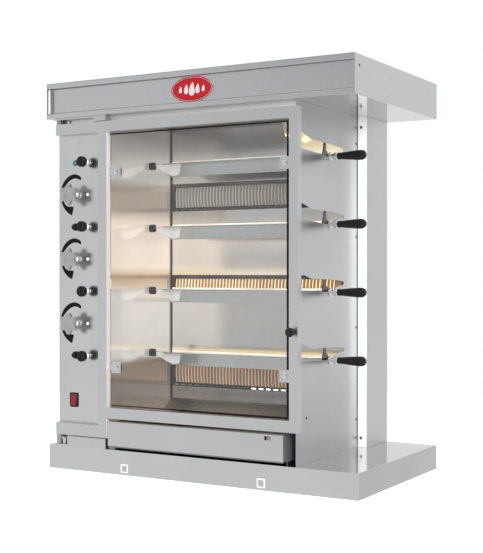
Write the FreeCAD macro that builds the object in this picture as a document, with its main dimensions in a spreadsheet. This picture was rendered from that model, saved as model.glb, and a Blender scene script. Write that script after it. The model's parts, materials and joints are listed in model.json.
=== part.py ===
import FreeCAD, Part
import Sketcher
import os
import re

# Gas rotisserie oven: four spits, three burners, a glazed door on long hinge arms and a drip drawer.
# Millimetres, Z up. X runs to the right and Y to the back, seen from the front.
# The origin is on the floor, below the middle of the whole oven.

DIMENSIONS = {
    "overall_height": 1310.0,
    "metal": 2.0,
    "plinth_width": 1160.0,
    "plinth_depth": 637.0,
    "plinth_height": 80.5,
    "plinth_setback": 18.0,
    "plug_side": 28.0,
    "plug_height": 22.0,
    "plug_spacing": 515.0,
    "plug_middle": -5.5,
    "hood_width": 1150.0,
    "hood_depth": 668.0,
    "hood_height": 119.5,
    "band_top": 18.0,
    "band_bottom": 15.5,
    "recess_depth": 12.0,
    "badge_width": 158.0,
    "badge_height": 85.0,
    "badge_middle": 6.0,
    "vent_length": 60.0,
    "vent_height": 6.0,
    "vent_pitch": 18.0,
    "flue_pitch": 96.0,
    "flue_setback": 162.0,
    "knob_reach": 30.0,
    "left_overhang": 29.0,
    "right_overhang": 177.0,
    "body_setback": 31.0,
    "rear_setback": 12.0,
    "rear_inset": 8.0,
    "control_width": 219.0,
    "fold": 12.0,
    "right_wall_inset": 31.0,
    "right_wall_depth": 439.0,
    "slot_mouth": 37.0,
    "slot_mouth_top": 70.0,
    "slot_flare_top": 60.0,
    "slot_throat": 105.0,
    "slot_throat_top": 43.0,
    "slot_throat_foot": 6.0,
    "slot_seat_top": 41.0,
    "slot_bend": 60.0,
    "slot_bend_top": 38.0,
    "slot_bend_foot": 18.0,
    "slot_tail": 106.0,
    "slot_tail_top": 34.0,
    "slot_tail_foot": 22.0,
    "slot_corner": 4.0,
    "strip_depth": 450.0,
    "cover_flange": 41.0,
    "chamber_depth": 360.0,
    "ceiling_gap": 19.5,
    "back_wall_foot": 218.0,
    "deflector_reach": 50.0,
    "deflector_drop": 37.0,
    "air_slot_length": 19.0,
    "air_slot_height": 5.0,
    "air_slot_pitch": 29.0,
    "burner_lowest": 311.0,
    "burner_middle": 610.0,
    "burner_highest": 935.0,
    "burner_height": 98.0,
    "burner_margin": 5.0,
    "burner_depth": 70.0,
    "fin_height": 72.0,
    "fin_pitch": 13.0,
    "fin_depth": 14.0,
    "spit_lowest": 388.0,
    "spit_pitch": 217.0,
    "spit_depth": 233.0,
    "spit_top": 5.0,
    "spit_bottom": 40.0,
    "spit_leg": 30.0,
    "spit_metal": 2.5,
    "spit_start": 16.0,
    "spit_shoulder": 13.0,
    "spit_neck_foot": 6.0,
    "spit_slope": 72.0,
    "spit_end_slope": 40.0,
    "spit_end_foot": 10.0,
    "leg_start": 30.0,
    "leg_end": 10.0,
    "disc_inset": 17.0,
    "disc_thickness": 4.0,
    "side_gap": 0.5,
    "journal_radius": 7.5,
    "seat_radius": 8.0,
    "disc_radius": 22.0,
    "socket_radius": 13.5,
    "socket_length": 15.5,
    "shaft_radius": 6.0,
    "handle_inset": 28.5,
    "handle_length": 97.0,
    "handle_thin": 11.5,
    "handle_thick": 16.0,
    "tang_radius": 5.0,
    "running_gap": 0.05,
    "motor_side": 70.0,
    "motor_depth": 86.0,
    "motor_radius": 30.0,
    "door_front": 5.0,
    "door_depth": 25.0,
    "door_left": 184.4,
    "door_right": 13.0,
    "door_foot": 185.0,
    "door_head": 1170.0,
    "rail_height": 36.0,
    "left_stile": 35.0,
    "right_stile": 29.0,
    "arm_foot": 119.0,
    "arm_height": 40.0,
    "pivot_inset": 12.0,
    "pin_radius": 6.0,
    "bush_radius": 10.0,
    "glass_gap": 5.5,
    "glass_depth": 15.0,
    "glass_thickness": 5.0,
    "clip_side": 38.0,
    "clip_height_low": 354.0,
    "clip_height_high": 1001.0,
    "clip_left": 29.5,
    "clip_right": 21.0,
    "door_knob_height": 489.5,
    "door_knob_radius": 15.0,
    "bracket_width": 214.0,
    "bracket_plate": 6.0,
    "bracket_block": 160.0,
    "bracket_block_high": 51.0,
    "bracket_height": 35.5,
    "pin_setback": 10.0,
    "bolt_column": 32.0,
    "bolt_column_high": 43.0,
    "bolt_head": 8.0,
    "bolt_length": 20.0,
    "drawer_left": 2.5,
    "drawer_right": 31.0,
    "drawer_foot": 94.0,
    "drawer_height": 81.0,
    "drawer_front": 8.0,
    "drawer_fold": 20.0,
    "pull_left": 593.5,
    "pull_width": 21.0,
    "pull_height": 12.0,
    "tray_gap": 9.5,
    "tray_depth": 430.0,
    "tray_height": 69.0,
    "switch_column": 122.0,
    "switch_radius": 18.5,
    "switch_reach": 42.0,
    "gas_column": 74.0,
    "gas_lowest": 496.0,
    "gas_pitch": 217.25,
    "gas_reach": 48.0,
    "gas_core": 27.0,
    "lobe_radius": 10.5,
    "lobe_circle": 26.2,
    "spindle_radius": 4.0,
    "stub_radius": 3.0,
    "push_travel": 4.0,
    "button_column": 71.0,
    "button_radius": 9.0,
    "button_reach": 15.0,
    "collar_radius": 12.0,
    "lamp_column": 69.0,
    "lamp_radius": 10.0,
    "rocker_column": 64.0,
    "rocker_height": 236.0,
    "rocker_wide": 30.0,
    "rocker_tall": 44.0,
    "rocker_pin": 1.5,
    "manifold_side": 22.0,
    "manifold_depth": 78.0,
    "pipe_radius": 5.0,
    "inlet_height": 150.0,
    "inlet_radius": 10.5,
    "inlet_pipe": 9.0,
    "oven_lamp_column": 175.0,
    "oven_lamp_depth": 308.0,
    "oven_lamp_radius": 35.0,
    "oven_lamp_drop": 58.0,
    "screw_radius": 5.0,
    "wall_screw": 67.5,
    "strip_screw": 20.5,
    "strip_screw_top": 35.5,
    "strip_screw_foot": 31.5,
    "hood_screw": 33.0,
    "panel_screw": 20.0,
    "rest_gap": 0.2,
    "sheet_gap": 0.3,
}

SPITS = range(4)
BURNERS = ("burner_lowest", "burner_middle", "burner_highest")
GAS_KNOBS = range(3)
IGNITER_SPITS = (0, 2)
FLUE_ROWS = range(5)
FLUE_COLUMNS = range(-4, 5)
SIDE_VENTS = range(10)
REAR_VENTS = range(12)
FINS = 50
AIR_SLOTS = 23
SEAM_SHARES = (0.086, 0.364, 0.637, 0.917)
ROCKER_TILT = -7
VERTICAL = FreeCAD.Rotation()
ALONG = {
    "X": FreeCAD.Rotation(FreeCAD.Vector(0, 1, 0), 90),
    "Y": FreeCAD.Rotation(FreeCAD.Vector(1, 0, 0), -90),
    "Z": VERTICAL,
}

# Reference planes, as formulas of the driving dimensions
HOOD_LEFT = "(0 - hood_width / 2)"
HOOD_RIGHT = "(hood_width / 2)"
HOOD_FRONT = "((knob_reach - hood_depth) / 2)"
HOOD_REAR = "((knob_reach + hood_depth) / 2)"
LEFT = f"({HOOD_LEFT} + left_overhang)"
RIGHT = f"({HOOD_RIGHT} - right_overhang)"
FRONT = f"({HOOD_FRONT} + body_setback)"
REAR = f"({HOOD_REAR} - rear_setback)"
DECK = "plinth_height"
ROOF = "(overall_height - hood_height)"
CHAMBER_LEFT = f"({LEFT} + control_width)"
SLOTTED = f"({RIGHT} - right_wall_inset)"
CHAMBER_RIGHT = f"({SLOTTED} - metal)"
CHAMBER_BACK = f"({FRONT} + chamber_depth)"
CEILING = f"({ROOF} - ceiling_gap)"
STRIP = f"({FRONT} + strip_depth)"
SPIT_LINE = f"({FRONT} + spit_depth)"
DOOR_FRONT = f"({HOOD_FRONT} + door_front)"
DOOR_BACK = f"({DOOR_FRONT} + door_depth)"
DOOR_LEFT = f"({LEFT} + door_left)"
DOOR_RIGHT = f"({RIGHT} - door_right)"
PIVOT = f"({LEFT} + pivot_inset)"
PIVOT_LINE = f"({DOOR_FRONT} + door_depth / 2)"
GLASS_LEFT = f"({DOOR_LEFT} + left_stile + glass_gap)"
GLASS_RIGHT = f"({DOOR_RIGHT} - right_stile - glass_gap)"
GLASS_FRONT = f"({DOOR_FRONT} + glass_depth)"
DRAWER_LEFT = f"({CHAMBER_LEFT} + drawer_left)"
DRAWER_RIGHT = f"({CHAMBER_RIGHT} - drawer_right)"
DRAWER_FRONT = f"({HOOD_FRONT} + drawer_front)"
TRAY_LEFT = f"({DRAWER_LEFT} + tray_gap)"
TRAY_RIGHT = f"({DRAWER_RIGHT} - tray_gap)"
MANIFOLD = f"({FRONT} + manifold_depth)"

document = FreeCAD.newDocument("RotisserieOven")
sizes = document.addObject("Spreadsheet::Sheet", "Sizes")
for line, (word, number) in enumerate(DIMENSIONS.items(), start=1):
    sizes.set(f"A{line}", word)
    sizes.set(f"B{line}", str(number))
    sizes.setAlias(f"B{line}", word)
document.recompute()
nodes = []


def cells(formula):
    """Return the formula with every dimension name pointed at its cell."""
    return re.sub(r"[a-z][a-z_]+", lambda word: f"Sizes.{word.group()}", str(formula))


def amount(formula):
    """Return the present value of a formula."""
    return float(sizes.evalExpression(cells(formula)))


def bind(item, **formulas):
    """Tie properties of an item to formulas."""
    for name, formula in formulas.items():
        item.setExpression(name, cells(formula))


def place(item, x, y, z, turn=VERTICAL):
    """Set an item's place by three formulas, and its turn."""
    item.Placement = FreeCAD.Placement(FreeCAD.Vector(), turn)
    for axis, formula in zip("xyz", (x, y, z)):
        item.setExpression(f"Placement.Base.{axis}", cells(formula))


def keep(label, item):
    """Make an item a sub-part, under its own label."""
    item.Label = label
    nodes.append(item)
    return item


def block(name, x, y, z):
    """A box between two formulas along each axis."""
    box = document.addObject("Part::Box", name)
    spans = (x, y, z)
    sides = zip(("Length", "Width", "Height"), spans)
    bind(box, **{side: f"({high}) - ({low})" for side, (low, high) in sides})
    place(box, *(low for low, high in spans))
    return box


def rod(name, axis, start, radius, length):
    """A cylinder along an axis, from the middle of its first end."""
    cylinder = document.addObject("Part::Cylinder", name)
    bind(cylinder, Radius=radius, Height=length)
    place(cylinder, *start, turn=ALONG[axis])
    return cylinder


def ball(name, middle, radius):
    """A sphere about a point."""
    sphere = document.addObject("Part::Sphere", name)
    bind(sphere, Radius=radius)
    place(sphere, *middle)
    return sphere


def group(name, *items):
    """Separate solids kept together."""
    compound = document.addObject("Part::Compound", name)
    compound.Links = list(items)
    return compound


def fuse(name, *items):
    """One solid made of several."""
    union = document.addObject("Part::MultiFuse", name)
    union.Shapes = list(items)
    union.Refine = True
    return union


def cut(name, base, *tools):
    """A solid less several others."""
    result = document.addObject("Part::Cut", name)
    result.Base = base
    result.Tool = tools[0] if len(tools) == 1 else group(f"{name}_tools", *tools)
    return result


def new_body(name):
    """An empty body."""
    return document.addObject("PartDesign::Body", name)


def origin_feature(body, role):
    """A plane or axis of a body's own origin."""
    return next(feature for feature in body.Origin.OriginFeatures if feature.Role == role)


def new_sketch(body, name, role, offset="0"):
    """An empty sketch on one of the body's own planes."""
    sketch = body.newObject("Sketcher::SketchObject", name)
    sketch.AttachmentSupport = (origin_feature(body, role), [""])
    sketch.MapMode = "FlatFace"
    bind(sketch, **{"AttachmentOffset.Base.z": offset})
    return sketch


def lock(sketch, geometry, point, u, v):
    """Hold a point of the sketch at two formulas."""
    for kind, formula in (("DistanceX", u), ("DistanceY", v)):
        number = sketch.addConstraint(Sketcher.Constraint(kind, -1, 1, geometry, point, amount(formula)))
        sketch.setExpression(f"Constraints[{number}]", cells(formula))


def polygon(sketch, corners):
    """A closed outline of straight sides between pairs of formulas."""
    first = sketch.GeometryCount
    points = [FreeCAD.Vector(amount(u), amount(v), 0) for u, v in corners]
    for start, end in zip(points, points[1:] + points[:1]):
        sketch.addGeometry(Part.LineSegment(start, end), False)
    for index, (u, v) in enumerate(corners):
        following = first + (index + 1) % len(corners)
        sketch.addConstraint(Sketcher.Constraint("Coincident", first + index, 2, following, 1))
        lock(sketch, first + index, 1, u, v)


def circle(sketch, u, v, radius):
    """A circle about a pair of formulas."""
    middle = FreeCAD.Vector(amount(u), amount(v), 0)
    index = sketch.addGeometry(Part.Circle(middle, FreeCAD.Vector(0, 0, 1), amount(radius)), False)
    number = sketch.addConstraint(Sketcher.Constraint("Radius", index, amount(radius)))
    sketch.setExpression(f"Constraints[{number}]", cells(radius))
    lock(sketch, index, 3, u, v)


def rectangle(sketch, u, v):
    """A rectangle between two formulas each way."""
    polygon(sketch, [(u[0], v[0]), (u[1], v[0]), (u[1], v[1]), (u[0], v[1])])


def pad(body, name, sketch, length, reverse=False):
    """Material along the sketch's normal, or against it."""
    feature = body.newObject("PartDesign::Pad", name)
    feature.Profile = sketch
    feature.Reversed = reverse
    bind(feature, Length=length)
    return feature


def pierce(body, name, sketch):
    """A cut right through, on both sides of the sketch."""
    feature = body.newObject("PartDesign::Pocket", name)
    feature.Profile = sketch
    feature.Type = "ThroughAll"
    feature.Midplane = True
    return feature


def repeat(body, name, features, direction, length, count):
    """Features repeated in a row along an origin axis."""
    pattern = body.newObject("PartDesign::LinearPattern", name)
    pattern.Originals = features
    pattern.Direction = (origin_feature(body, direction), [""])
    pattern.Occurrences = count
    bind(pattern, Length=length)
    body.Tip = pattern
    return pattern


def turned(name, profile):
    """A body turned about its own X axis from pairs of formulas: place along the axis, then radius."""
    body = new_body(name)
    sketch = new_sketch(body, f"{name}_profile", "XY_Plane")
    polygon(sketch, profile)
    feature = body.newObject("PartDesign::Revolution", f"{name}_turn")
    feature.Profile = sketch
    feature.ReferenceAxis = (origin_feature(body, "X_Axis"), [""])
    feature.Angle = 360
    return body


TOWARDS_FRONT = FreeCAD.Rotation(FreeCAD.Vector(0, 0, 1), -90)


def spit_height(index):
    """Height of a spit's axis."""
    return f"(spit_lowest + {index} * spit_pitch)"


def gas_height(index):
    """Height of a gas knob's axis."""
    return f"(gas_lowest + {index} * gas_pitch)"


# Plinth: a closed sheet box, with a square plug at each end of its front face

def plinth():
    front = f"({HOOD_FRONT} + plinth_setback)"
    rear = f"({front} + plinth_depth)"
    half = "plinth_width / 2"
    outer = block("plinth_outer", (f"0 - {half}", half), (front, rear), ("0", DECK))
    inner = block(
        "plinth_inner",
        (f"metal - {half}", f"{half} - metal"),
        (f"{front} + metal", f"{rear} - metal"),
        ("metal", f"{DECK} - metal"),
    )
    openings = []
    plugs = []
    for side in (-1, 1):
        middle = f"(plug_middle + {side} * plug_spacing / 2)"
        openings.append(block(
            "plug_opening",
            (f"{middle} - plug_side / 2 + 2 * metal", f"{middle} + plug_side / 2 - 2 * metal"),
            (f"{front} - metal", f"{front} + 2 * metal"),
            ("plug_height - plug_side / 2 + 2 * metal", "plug_height + plug_side / 2 - 2 * metal"),
        ))
        face = block(
            "plug_face",
            (f"{middle} - plug_side / 2", f"{middle} + plug_side / 2"),
            (f"{front} - metal", front),
            ("plug_height - plug_side / 2", "plug_height + plug_side / 2"),
        )
        stem = block(
            "plug_stem",
            (f"{middle} - plug_side / 2 + 2 * metal", f"{middle} + plug_side / 2 - 2 * metal"),
            (front, f"{front} + 4 * metal"),
            ("plug_height - plug_side / 2 + 2 * metal", "plug_height + plug_side / 2 - 2 * metal"),
        )
        plugs.append(fuse("plug", face, stem))
    keep("plinth_shell", cut("plinth_cut", outer, inner, *openings))
    keep("plinth_plugs", group("plinth_plug_pair", *plugs))


# Hood: a folded cover, a recessed front fascia with an oval badge, and an underside panel

def hood():
    outer = block("hood_outer", (HOOD_LEFT, HOOD_RIGHT), (HOOD_FRONT, HOOD_REAR), (ROOF, "overall_height"))
    inner = block(
        "hood_inner",
        (f"{HOOD_LEFT} + metal", f"{HOOD_RIGHT} - metal"),
        (f"{HOOD_FRONT} - metal", f"{HOOD_REAR} - metal"),
        (f"{ROOF} - metal", "overall_height - metal"),
    )
    vents = []
    for row in FLUE_ROWS:
        for column in FLUE_COLUMNS:
            middle = f"({column} * flue_pitch)"
            start = f"({HOOD_REAR} - flue_setback + {row} * vent_pitch)"
            vents.append(block(
                "flue_vent",
                (f"{middle} - vent_length / 2", f"{middle} + vent_length / 2"),
                (start, f"{start} + vent_height"),
                ("overall_height - 2 * metal", "overall_height + metal"),
            ))
    keep("hood_shell", cut("hood_cut", outer, inner, *vents))

    body = new_body("fascia_body")
    sketch = new_sketch(body, "fascia_profile", "YZ_Plane", f"{HOOD_LEFT} + metal")
    deep = f"{HOOD_FRONT} + recess_depth"
    polygon(sketch, [
        (HOOD_FRONT, ROOF),
        (f"{deep} + metal", ROOF),
        (f"{deep} + metal", "overall_height - metal"),
        (deep, "overall_height - metal"),
        (deep, f"{ROOF} + band_bottom"),
        (HOOD_FRONT, f"{ROOF} + band_bottom"),
    ])
    pad(body, "fascia_pad", sketch, "hood_width - 2 * metal")
    band = new_sketch(body, "fascia_band", "YZ_Plane", f"{HOOD_LEFT} + metal")
    rectangle(band, (HOOD_FRONT, f"{deep} + metal"), ("overall_height - band_top", "overall_height - metal"))
    pad(body, "fascia_band_pad", band, "hood_width - 2 * metal")
    keep("hood_fascia", body)

    keep("hood_underside", block(
        "underside_plate",
        (f"{HOOD_LEFT} + metal", f"{HOOD_RIGHT} - metal"),
        (f"{deep} + metal", f"{HOOD_REAR} - metal"),
        (ROOF, f"{ROOF} + metal"),
    ))

    outline = document.addObject("Part::Ellipse", "badge_outline")
    bind(outline, MajorRadius="badge_width / 2", MinorRadius="badge_height / 2")
    height = f"({ROOF} + band_bottom + (hood_height - band_top - band_bottom) / 2)"
    place(outline, "badge_middle", deep, height, FreeCAD.Rotation(FreeCAD.Vector(1, 0, 0), 90))
    badge = document.addObject("Part::Extrusion", "badge_plate")
    badge.Base = outline
    badge.DirMode = "Normal"
    badge.Solid = True
    badge.Reversed = True
    bind(badge, LengthFwd="1.5 * metal")
    keep("fascia_badge", badge)


# Casing: side, rear and control panels, and the cover behind the chamber on the right

def casing():
    side = block("side_plate", (LEFT, f"{LEFT} + metal"), (FRONT, REAR), (DECK, ROOF))
    louvres = []
    for row in SIDE_VENTS:
        foot = f"({DECK} + 4 * vent_pitch + {row} * vent_pitch)"
        louvres.append(block(
            "side_vent",
            (f"{LEFT} - metal", f"{LEFT} + 2 * metal"),
            (f"{REAR} - 4 * vent_length", f"{REAR} - vent_length"),
            (foot, f"{foot} + vent_height"),
        ))
    keep("left_side_panel", cut("side_cut", side, *louvres))

    back = f"({REAR} - rear_inset)"
    plate = block(
        "rear_plate", (f"{LEFT} + metal", f"{RIGHT} - metal"), (f"{back} - metal", back), (DECK, ROOF),
    )
    holes = [
        rod("inlet_hole", "Y", (f"{LEFT} + gas_column", f"{back} - 2 * metal", "inlet_height"),
            "inlet_pipe + metal / 2", "3 * metal"),
        rod("gland_hole", "Y", (f"{LEFT} + 2 * gas_column", f"{back} - 2 * metal", "inlet_height"),
            "lamp_radius", "3 * metal"),
    ]
    for row in REAR_VENTS:
        foot = f"({DECK} + 20 * vent_pitch + {row} * 2 * vent_pitch)"
        holes.append(block(
            "rear_vent",
            (f"{RIGHT} - 9 * vent_length", f"{RIGHT} - 3 * vent_length"),
            (f"{back} - 2 * metal", f"{back} + metal"),
            (foot, f"{foot} + vent_height"),
        ))
    keep("rear_panel", cut("rear_cut", plate, *holes))

    body = new_body("control_body")
    sketch = new_sketch(body, "control_outline", "XZ_Plane", f"0 - {FRONT}")
    rectangle(sketch, (f"{LEFT} + metal", f"{CHAMBER_LEFT} - metal"), (DECK, ROOF))
    pad(body, "control_pad", sketch, "metal", reverse=True)
    fold = new_sketch(body, "control_fold", "XZ_Plane", f"0 - {FRONT} - metal")
    rectangle(fold, (f"{LEFT} + metal", f"{LEFT} + 2 * metal"), (DECK, ROOF))
    pad(body, "control_fold_pad", fold, "fold", reverse=True)
    holes = new_sketch(body, "control_holes", "XZ_Plane", f"0 - {FRONT}")
    for index in SPITS:
        circle(holes, f"{LEFT} + switch_column", spit_height(index), "stub_radius + metal")
    for index in GAS_KNOBS:
        circle(holes, f"{LEFT} + gas_column", gas_height(index), "spindle_radius + metal")
    for index in IGNITER_SPITS:
        circle(holes, f"{LEFT} + button_column", spit_height(index), "collar_radius - metal")
    circle(holes, f"{LEFT} + lamp_column", spit_height(3), "lamp_radius - metal")
    column = f"{LEFT} + rocker_column"
    rectangle(
        holes,
        (f"{column} - rocker_wide / 2 + metal", f"{column} + rocker_wide / 2 - metal"),
        ("rocker_height - rocker_tall / 2 + metal", "rocker_height + rocker_tall / 2 - metal"),
    )
    pierce(body, "control_pierce", holes)
    keep("control_panel", body)

    body = new_body("cover_body")
    sketch = new_sketch(body, "cover_profile", "XY_Plane", DECK)
    inner = f"({CHAMBER_RIGHT} - metal)"
    polygon(sketch, [
        (inner, f"{STRIP} - cover_flange"),
        (CHAMBER_RIGHT, f"{STRIP} - cover_flange"),
        (CHAMBER_RIGHT, STRIP),
        (RIGHT, STRIP),
        (RIGHT, REAR),
        (f"{RIGHT} - metal", REAR),
        (f"{RIGHT} - metal", f"{STRIP} + metal"),
        (inner, f"{STRIP} + metal"),
    ])
    pad(body, "cover_pad", sketch, f"{ROOF} - {DECK}")
    keep("rear_right_cover", body)


# Chamber: ceiling, left wall, slotted right wall, back wall with burner openings, drip deflector

def chamber():
    body = new_body("ceiling_body")
    sketch = new_sketch(body, "ceiling_profile", "YZ_Plane", CHAMBER_LEFT)
    polygon(sketch, [
        (FRONT, CEILING),
        (CHAMBER_BACK, CEILING),
        (CHAMBER_BACK, f"{CEILING} + metal"),
        (f"{FRONT} + metal", f"{CEILING} + metal"),
        (f"{FRONT} + metal", ROOF),
        (FRONT, ROOF),
    ])
    pad(body, "ceiling_pad", sketch, f"{CHAMBER_RIGHT} - {CHAMBER_LEFT}")
    keep("chamber_ceiling", body)

    across = (f"{CHAMBER_LEFT} - metal", CHAMBER_LEFT)
    wall = block("left_plate", across, (FRONT, f"{CHAMBER_BACK} + metal"), (DECK, ROOF))
    holes = [
        rod("drive_hole", "X", (f"{CHAMBER_LEFT} - 2 * metal", SPIT_LINE, spit_height(index)),
            "shaft_radius + metal", "3 * metal")
        for index in SPITS
    ]
    keep("chamber_left_wall", cut("left_cut", wall, *holes))

    body = new_body("slotted_body")
    sketch = new_sketch(body, "slotted_outline", "YZ_Plane", CHAMBER_RIGHT)
    rectangle(sketch, (FRONT, f"{FRONT} + right_wall_depth"), (DECK, ROOF))
    pad(body, "slotted_pad", sketch, "metal")
    slot = new_sketch(body, "slot_outline", "YZ_Plane", CHAMBER_RIGHT)
    tail = f"{SPIT_LINE} + slot_tail"
    polygon(slot, [
        (f"{FRONT} - metal", "spit_lowest + slot_mouth_top"),
        (f"{FRONT} - metal", "spit_lowest + seat_radius"),
        (f"{FRONT} + slot_mouth", "spit_lowest + seat_radius"),
        (f"{FRONT} + slot_throat", "spit_lowest + slot_throat_foot"),
        (f"{SPIT_LINE} - seat_radius", "spit_lowest"),
        (f"{SPIT_LINE} + seat_radius", "spit_lowest"),
        (f"{SPIT_LINE} + slot_bend", "spit_lowest + slot_bend_foot"),
        (f"{tail} - slot_corner", "spit_lowest + slot_tail_foot"),
        (tail, "spit_lowest + slot_tail_foot + slot_corner"),
        (tail, "spit_lowest + slot_tail_top - slot_corner"),
        (f"{tail} - slot_corner", "spit_lowest + slot_tail_top"),
        (f"{SPIT_LINE} + slot_bend", "spit_lowest + slot_bend_top"),
        (SPIT_LINE, "spit_lowest + slot_seat_top"),
        (f"{FRONT} + slot_throat", "spit_lowest + slot_throat_top"),
        (f"{FRONT} + slot_mouth", "spit_lowest + slot_flare_top"),
    ])
    slot_cut = pierce(body, "slot_cut", slot)
    seat = new_sketch(body, "seat_outline", "YZ_Plane", CHAMBER_RIGHT)
    circle(seat, SPIT_LINE, "spit_lowest", "seat_radius")
    seat_cut = pierce(body, "seat_cut", seat)
    repeat(body, "slot_row", [slot_cut, seat_cut], "Z_Axis", "3 * spit_pitch", len(SPITS))
    keep("chamber_right_wall", body)

    body = new_body("back_body")
    sketch = new_sketch(body, "back_outline", "XZ_Plane", f"0 - {CHAMBER_BACK}")
    rectangle(sketch, (CHAMBER_LEFT, CHAMBER_RIGHT), ("back_wall_foot", ROOF))
    pad(body, "back_pad", sketch, "metal", reverse=True)
    openings = new_sketch(body, "back_openings", "XZ_Plane", f"0 - {CHAMBER_BACK}")
    for burner in BURNERS:
        rectangle(
            openings,
            (f"{CHAMBER_LEFT} + 3 * burner_margin", f"{CHAMBER_RIGHT} - 3 * burner_margin"),
            (f"{burner} - burner_height / 2 + metal", f"{burner} + burner_height / 2 - metal"),
        )
    pierce(body, "back_pierce", openings)
    keep("chamber_back_wall", body)

    body = new_body("deflector_body")
    sketch = new_sketch(body, "deflector_profile", "YZ_Plane", CHAMBER_LEFT)
    low = "back_wall_foot - deflector_drop"
    polygon(sketch, [
        (CHAMBER_BACK, "back_wall_foot"),
        (f"{CHAMBER_BACK} - deflector_reach", low),
        (f"{CHAMBER_BACK} - deflector_reach", f"{low} - metal"),
        (f"{CHAMBER_BACK}", "back_wall_foot - metal"),
        (f"{CHAMBER_BACK} + metal", "back_wall_foot - metal"),
        (f"{CHAMBER_BACK} + metal", "back_wall_foot"),
    ])
    pad(body, "deflector_pad", sketch, f"{CHAMBER_RIGHT} - {CHAMBER_LEFT}")
    keep("drip_deflector", body)


# Burners: a framed housing behind each opening, holding a row of upright fins

def burners():
    left = f"({CHAMBER_LEFT} + burner_margin)"
    right = f"({CHAMBER_RIGHT} - burner_margin)"
    housings = []
    fin_rows = []
    for index, height in enumerate(BURNERS):
        inset = "2 * burner_margin"
        face = burner_face(index, height, left, right)
        case = block(
            "burner_case", (f"{left} + {inset}", f"{right} - {inset}"),
            (f"{CHAMBER_BACK} - metal", f"{CHAMBER_BACK} + burner_depth"),
            (f"{height} - fin_height / 2 - metal", f"{height} + fin_height / 2 + metal"),
        )
        hollow = block(
            "burner_hollow", (f"{left} + {inset} + metal", f"{right} - {inset} - metal"),
            (f"{CHAMBER_BACK} - 2 * metal", f"{CHAMBER_BACK} + burner_depth - metal"),
            (f"{height} - fin_height / 2", f"{height} + fin_height / 2"),
        )
        housings.append(cut("burner_housing", fuse("burner_shell", face, case), hollow))

        body = new_body(f"fins_{index}")
        start = f"({left} + {inset} + metal)"
        span = (f"{height} - fin_height / 2", f"{height} + fin_height / 2")
        plate = new_sketch(body, f"fin_plate_{index}", "XZ_Plane", f"0 - {CHAMBER_BACK} - fin_depth")
        rectangle(plate, (start, f"{right} - {inset} - metal"), span)
        pad(body, f"fin_plate_pad_{index}", plate, "metal", reverse=True)
        fin = new_sketch(body, f"fin_{index}", "XZ_Plane", f"0 - {CHAMBER_BACK} - fin_depth")
        rectangle(fin, (f"{start} + fin_pitch / 4", f"{start} + fin_pitch / 2"), span)
        one = pad(body, f"fin_pad_{index}", fin, "fin_depth - metal")
        repeat(body, f"fin_row_{index}", [one], "X_Axis", f"{FINS - 1} * fin_pitch", FINS)
        fin_rows.append(body)
    keep("burner_housings", group("housing_set", *housings))
    keep("burner_fins", group("fin_set", *fin_rows))


def burner_face(index, height, left, right):
    """A burner's front plate, with a row of air slots along its lower edge."""
    body = new_body(f"burner_face_{index}")
    plate = new_sketch(body, f"face_outline_{index}", "XZ_Plane", f"0 - {CHAMBER_BACK}")
    rectangle(plate, (left, right), (f"{height} - burner_height / 2", f"{height} + burner_height / 2"))
    pad(body, f"face_pad_{index}", plate, "metal")
    slot = new_sketch(body, f"air_slot_{index}", "XZ_Plane", f"0 - {CHAMBER_BACK}")
    start = f"({CHAMBER_LEFT} + air_slot_pitch / 2)"
    middle = f"({height} - (burner_height + fin_height + 2 * metal) / 4)"
    tall = "air_slot_height / 2"
    rectangle(slot, (start, f"{start} + air_slot_length"), (f"{middle} - {tall}", f"{middle} + {tall}"))
    slot_cut = pierce(body, f"air_slot_cut_{index}", slot)
    run = f"{AIR_SLOTS - 1} * air_slot_pitch"
    repeat(body, f"air_slot_row_{index}", [slot_cut], "X_Axis", run, AIR_SLOTS)
    return body


# Gas line: rear inlet, square manifold, a valve behind each gas knob and a feed pipe to each burner

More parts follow.
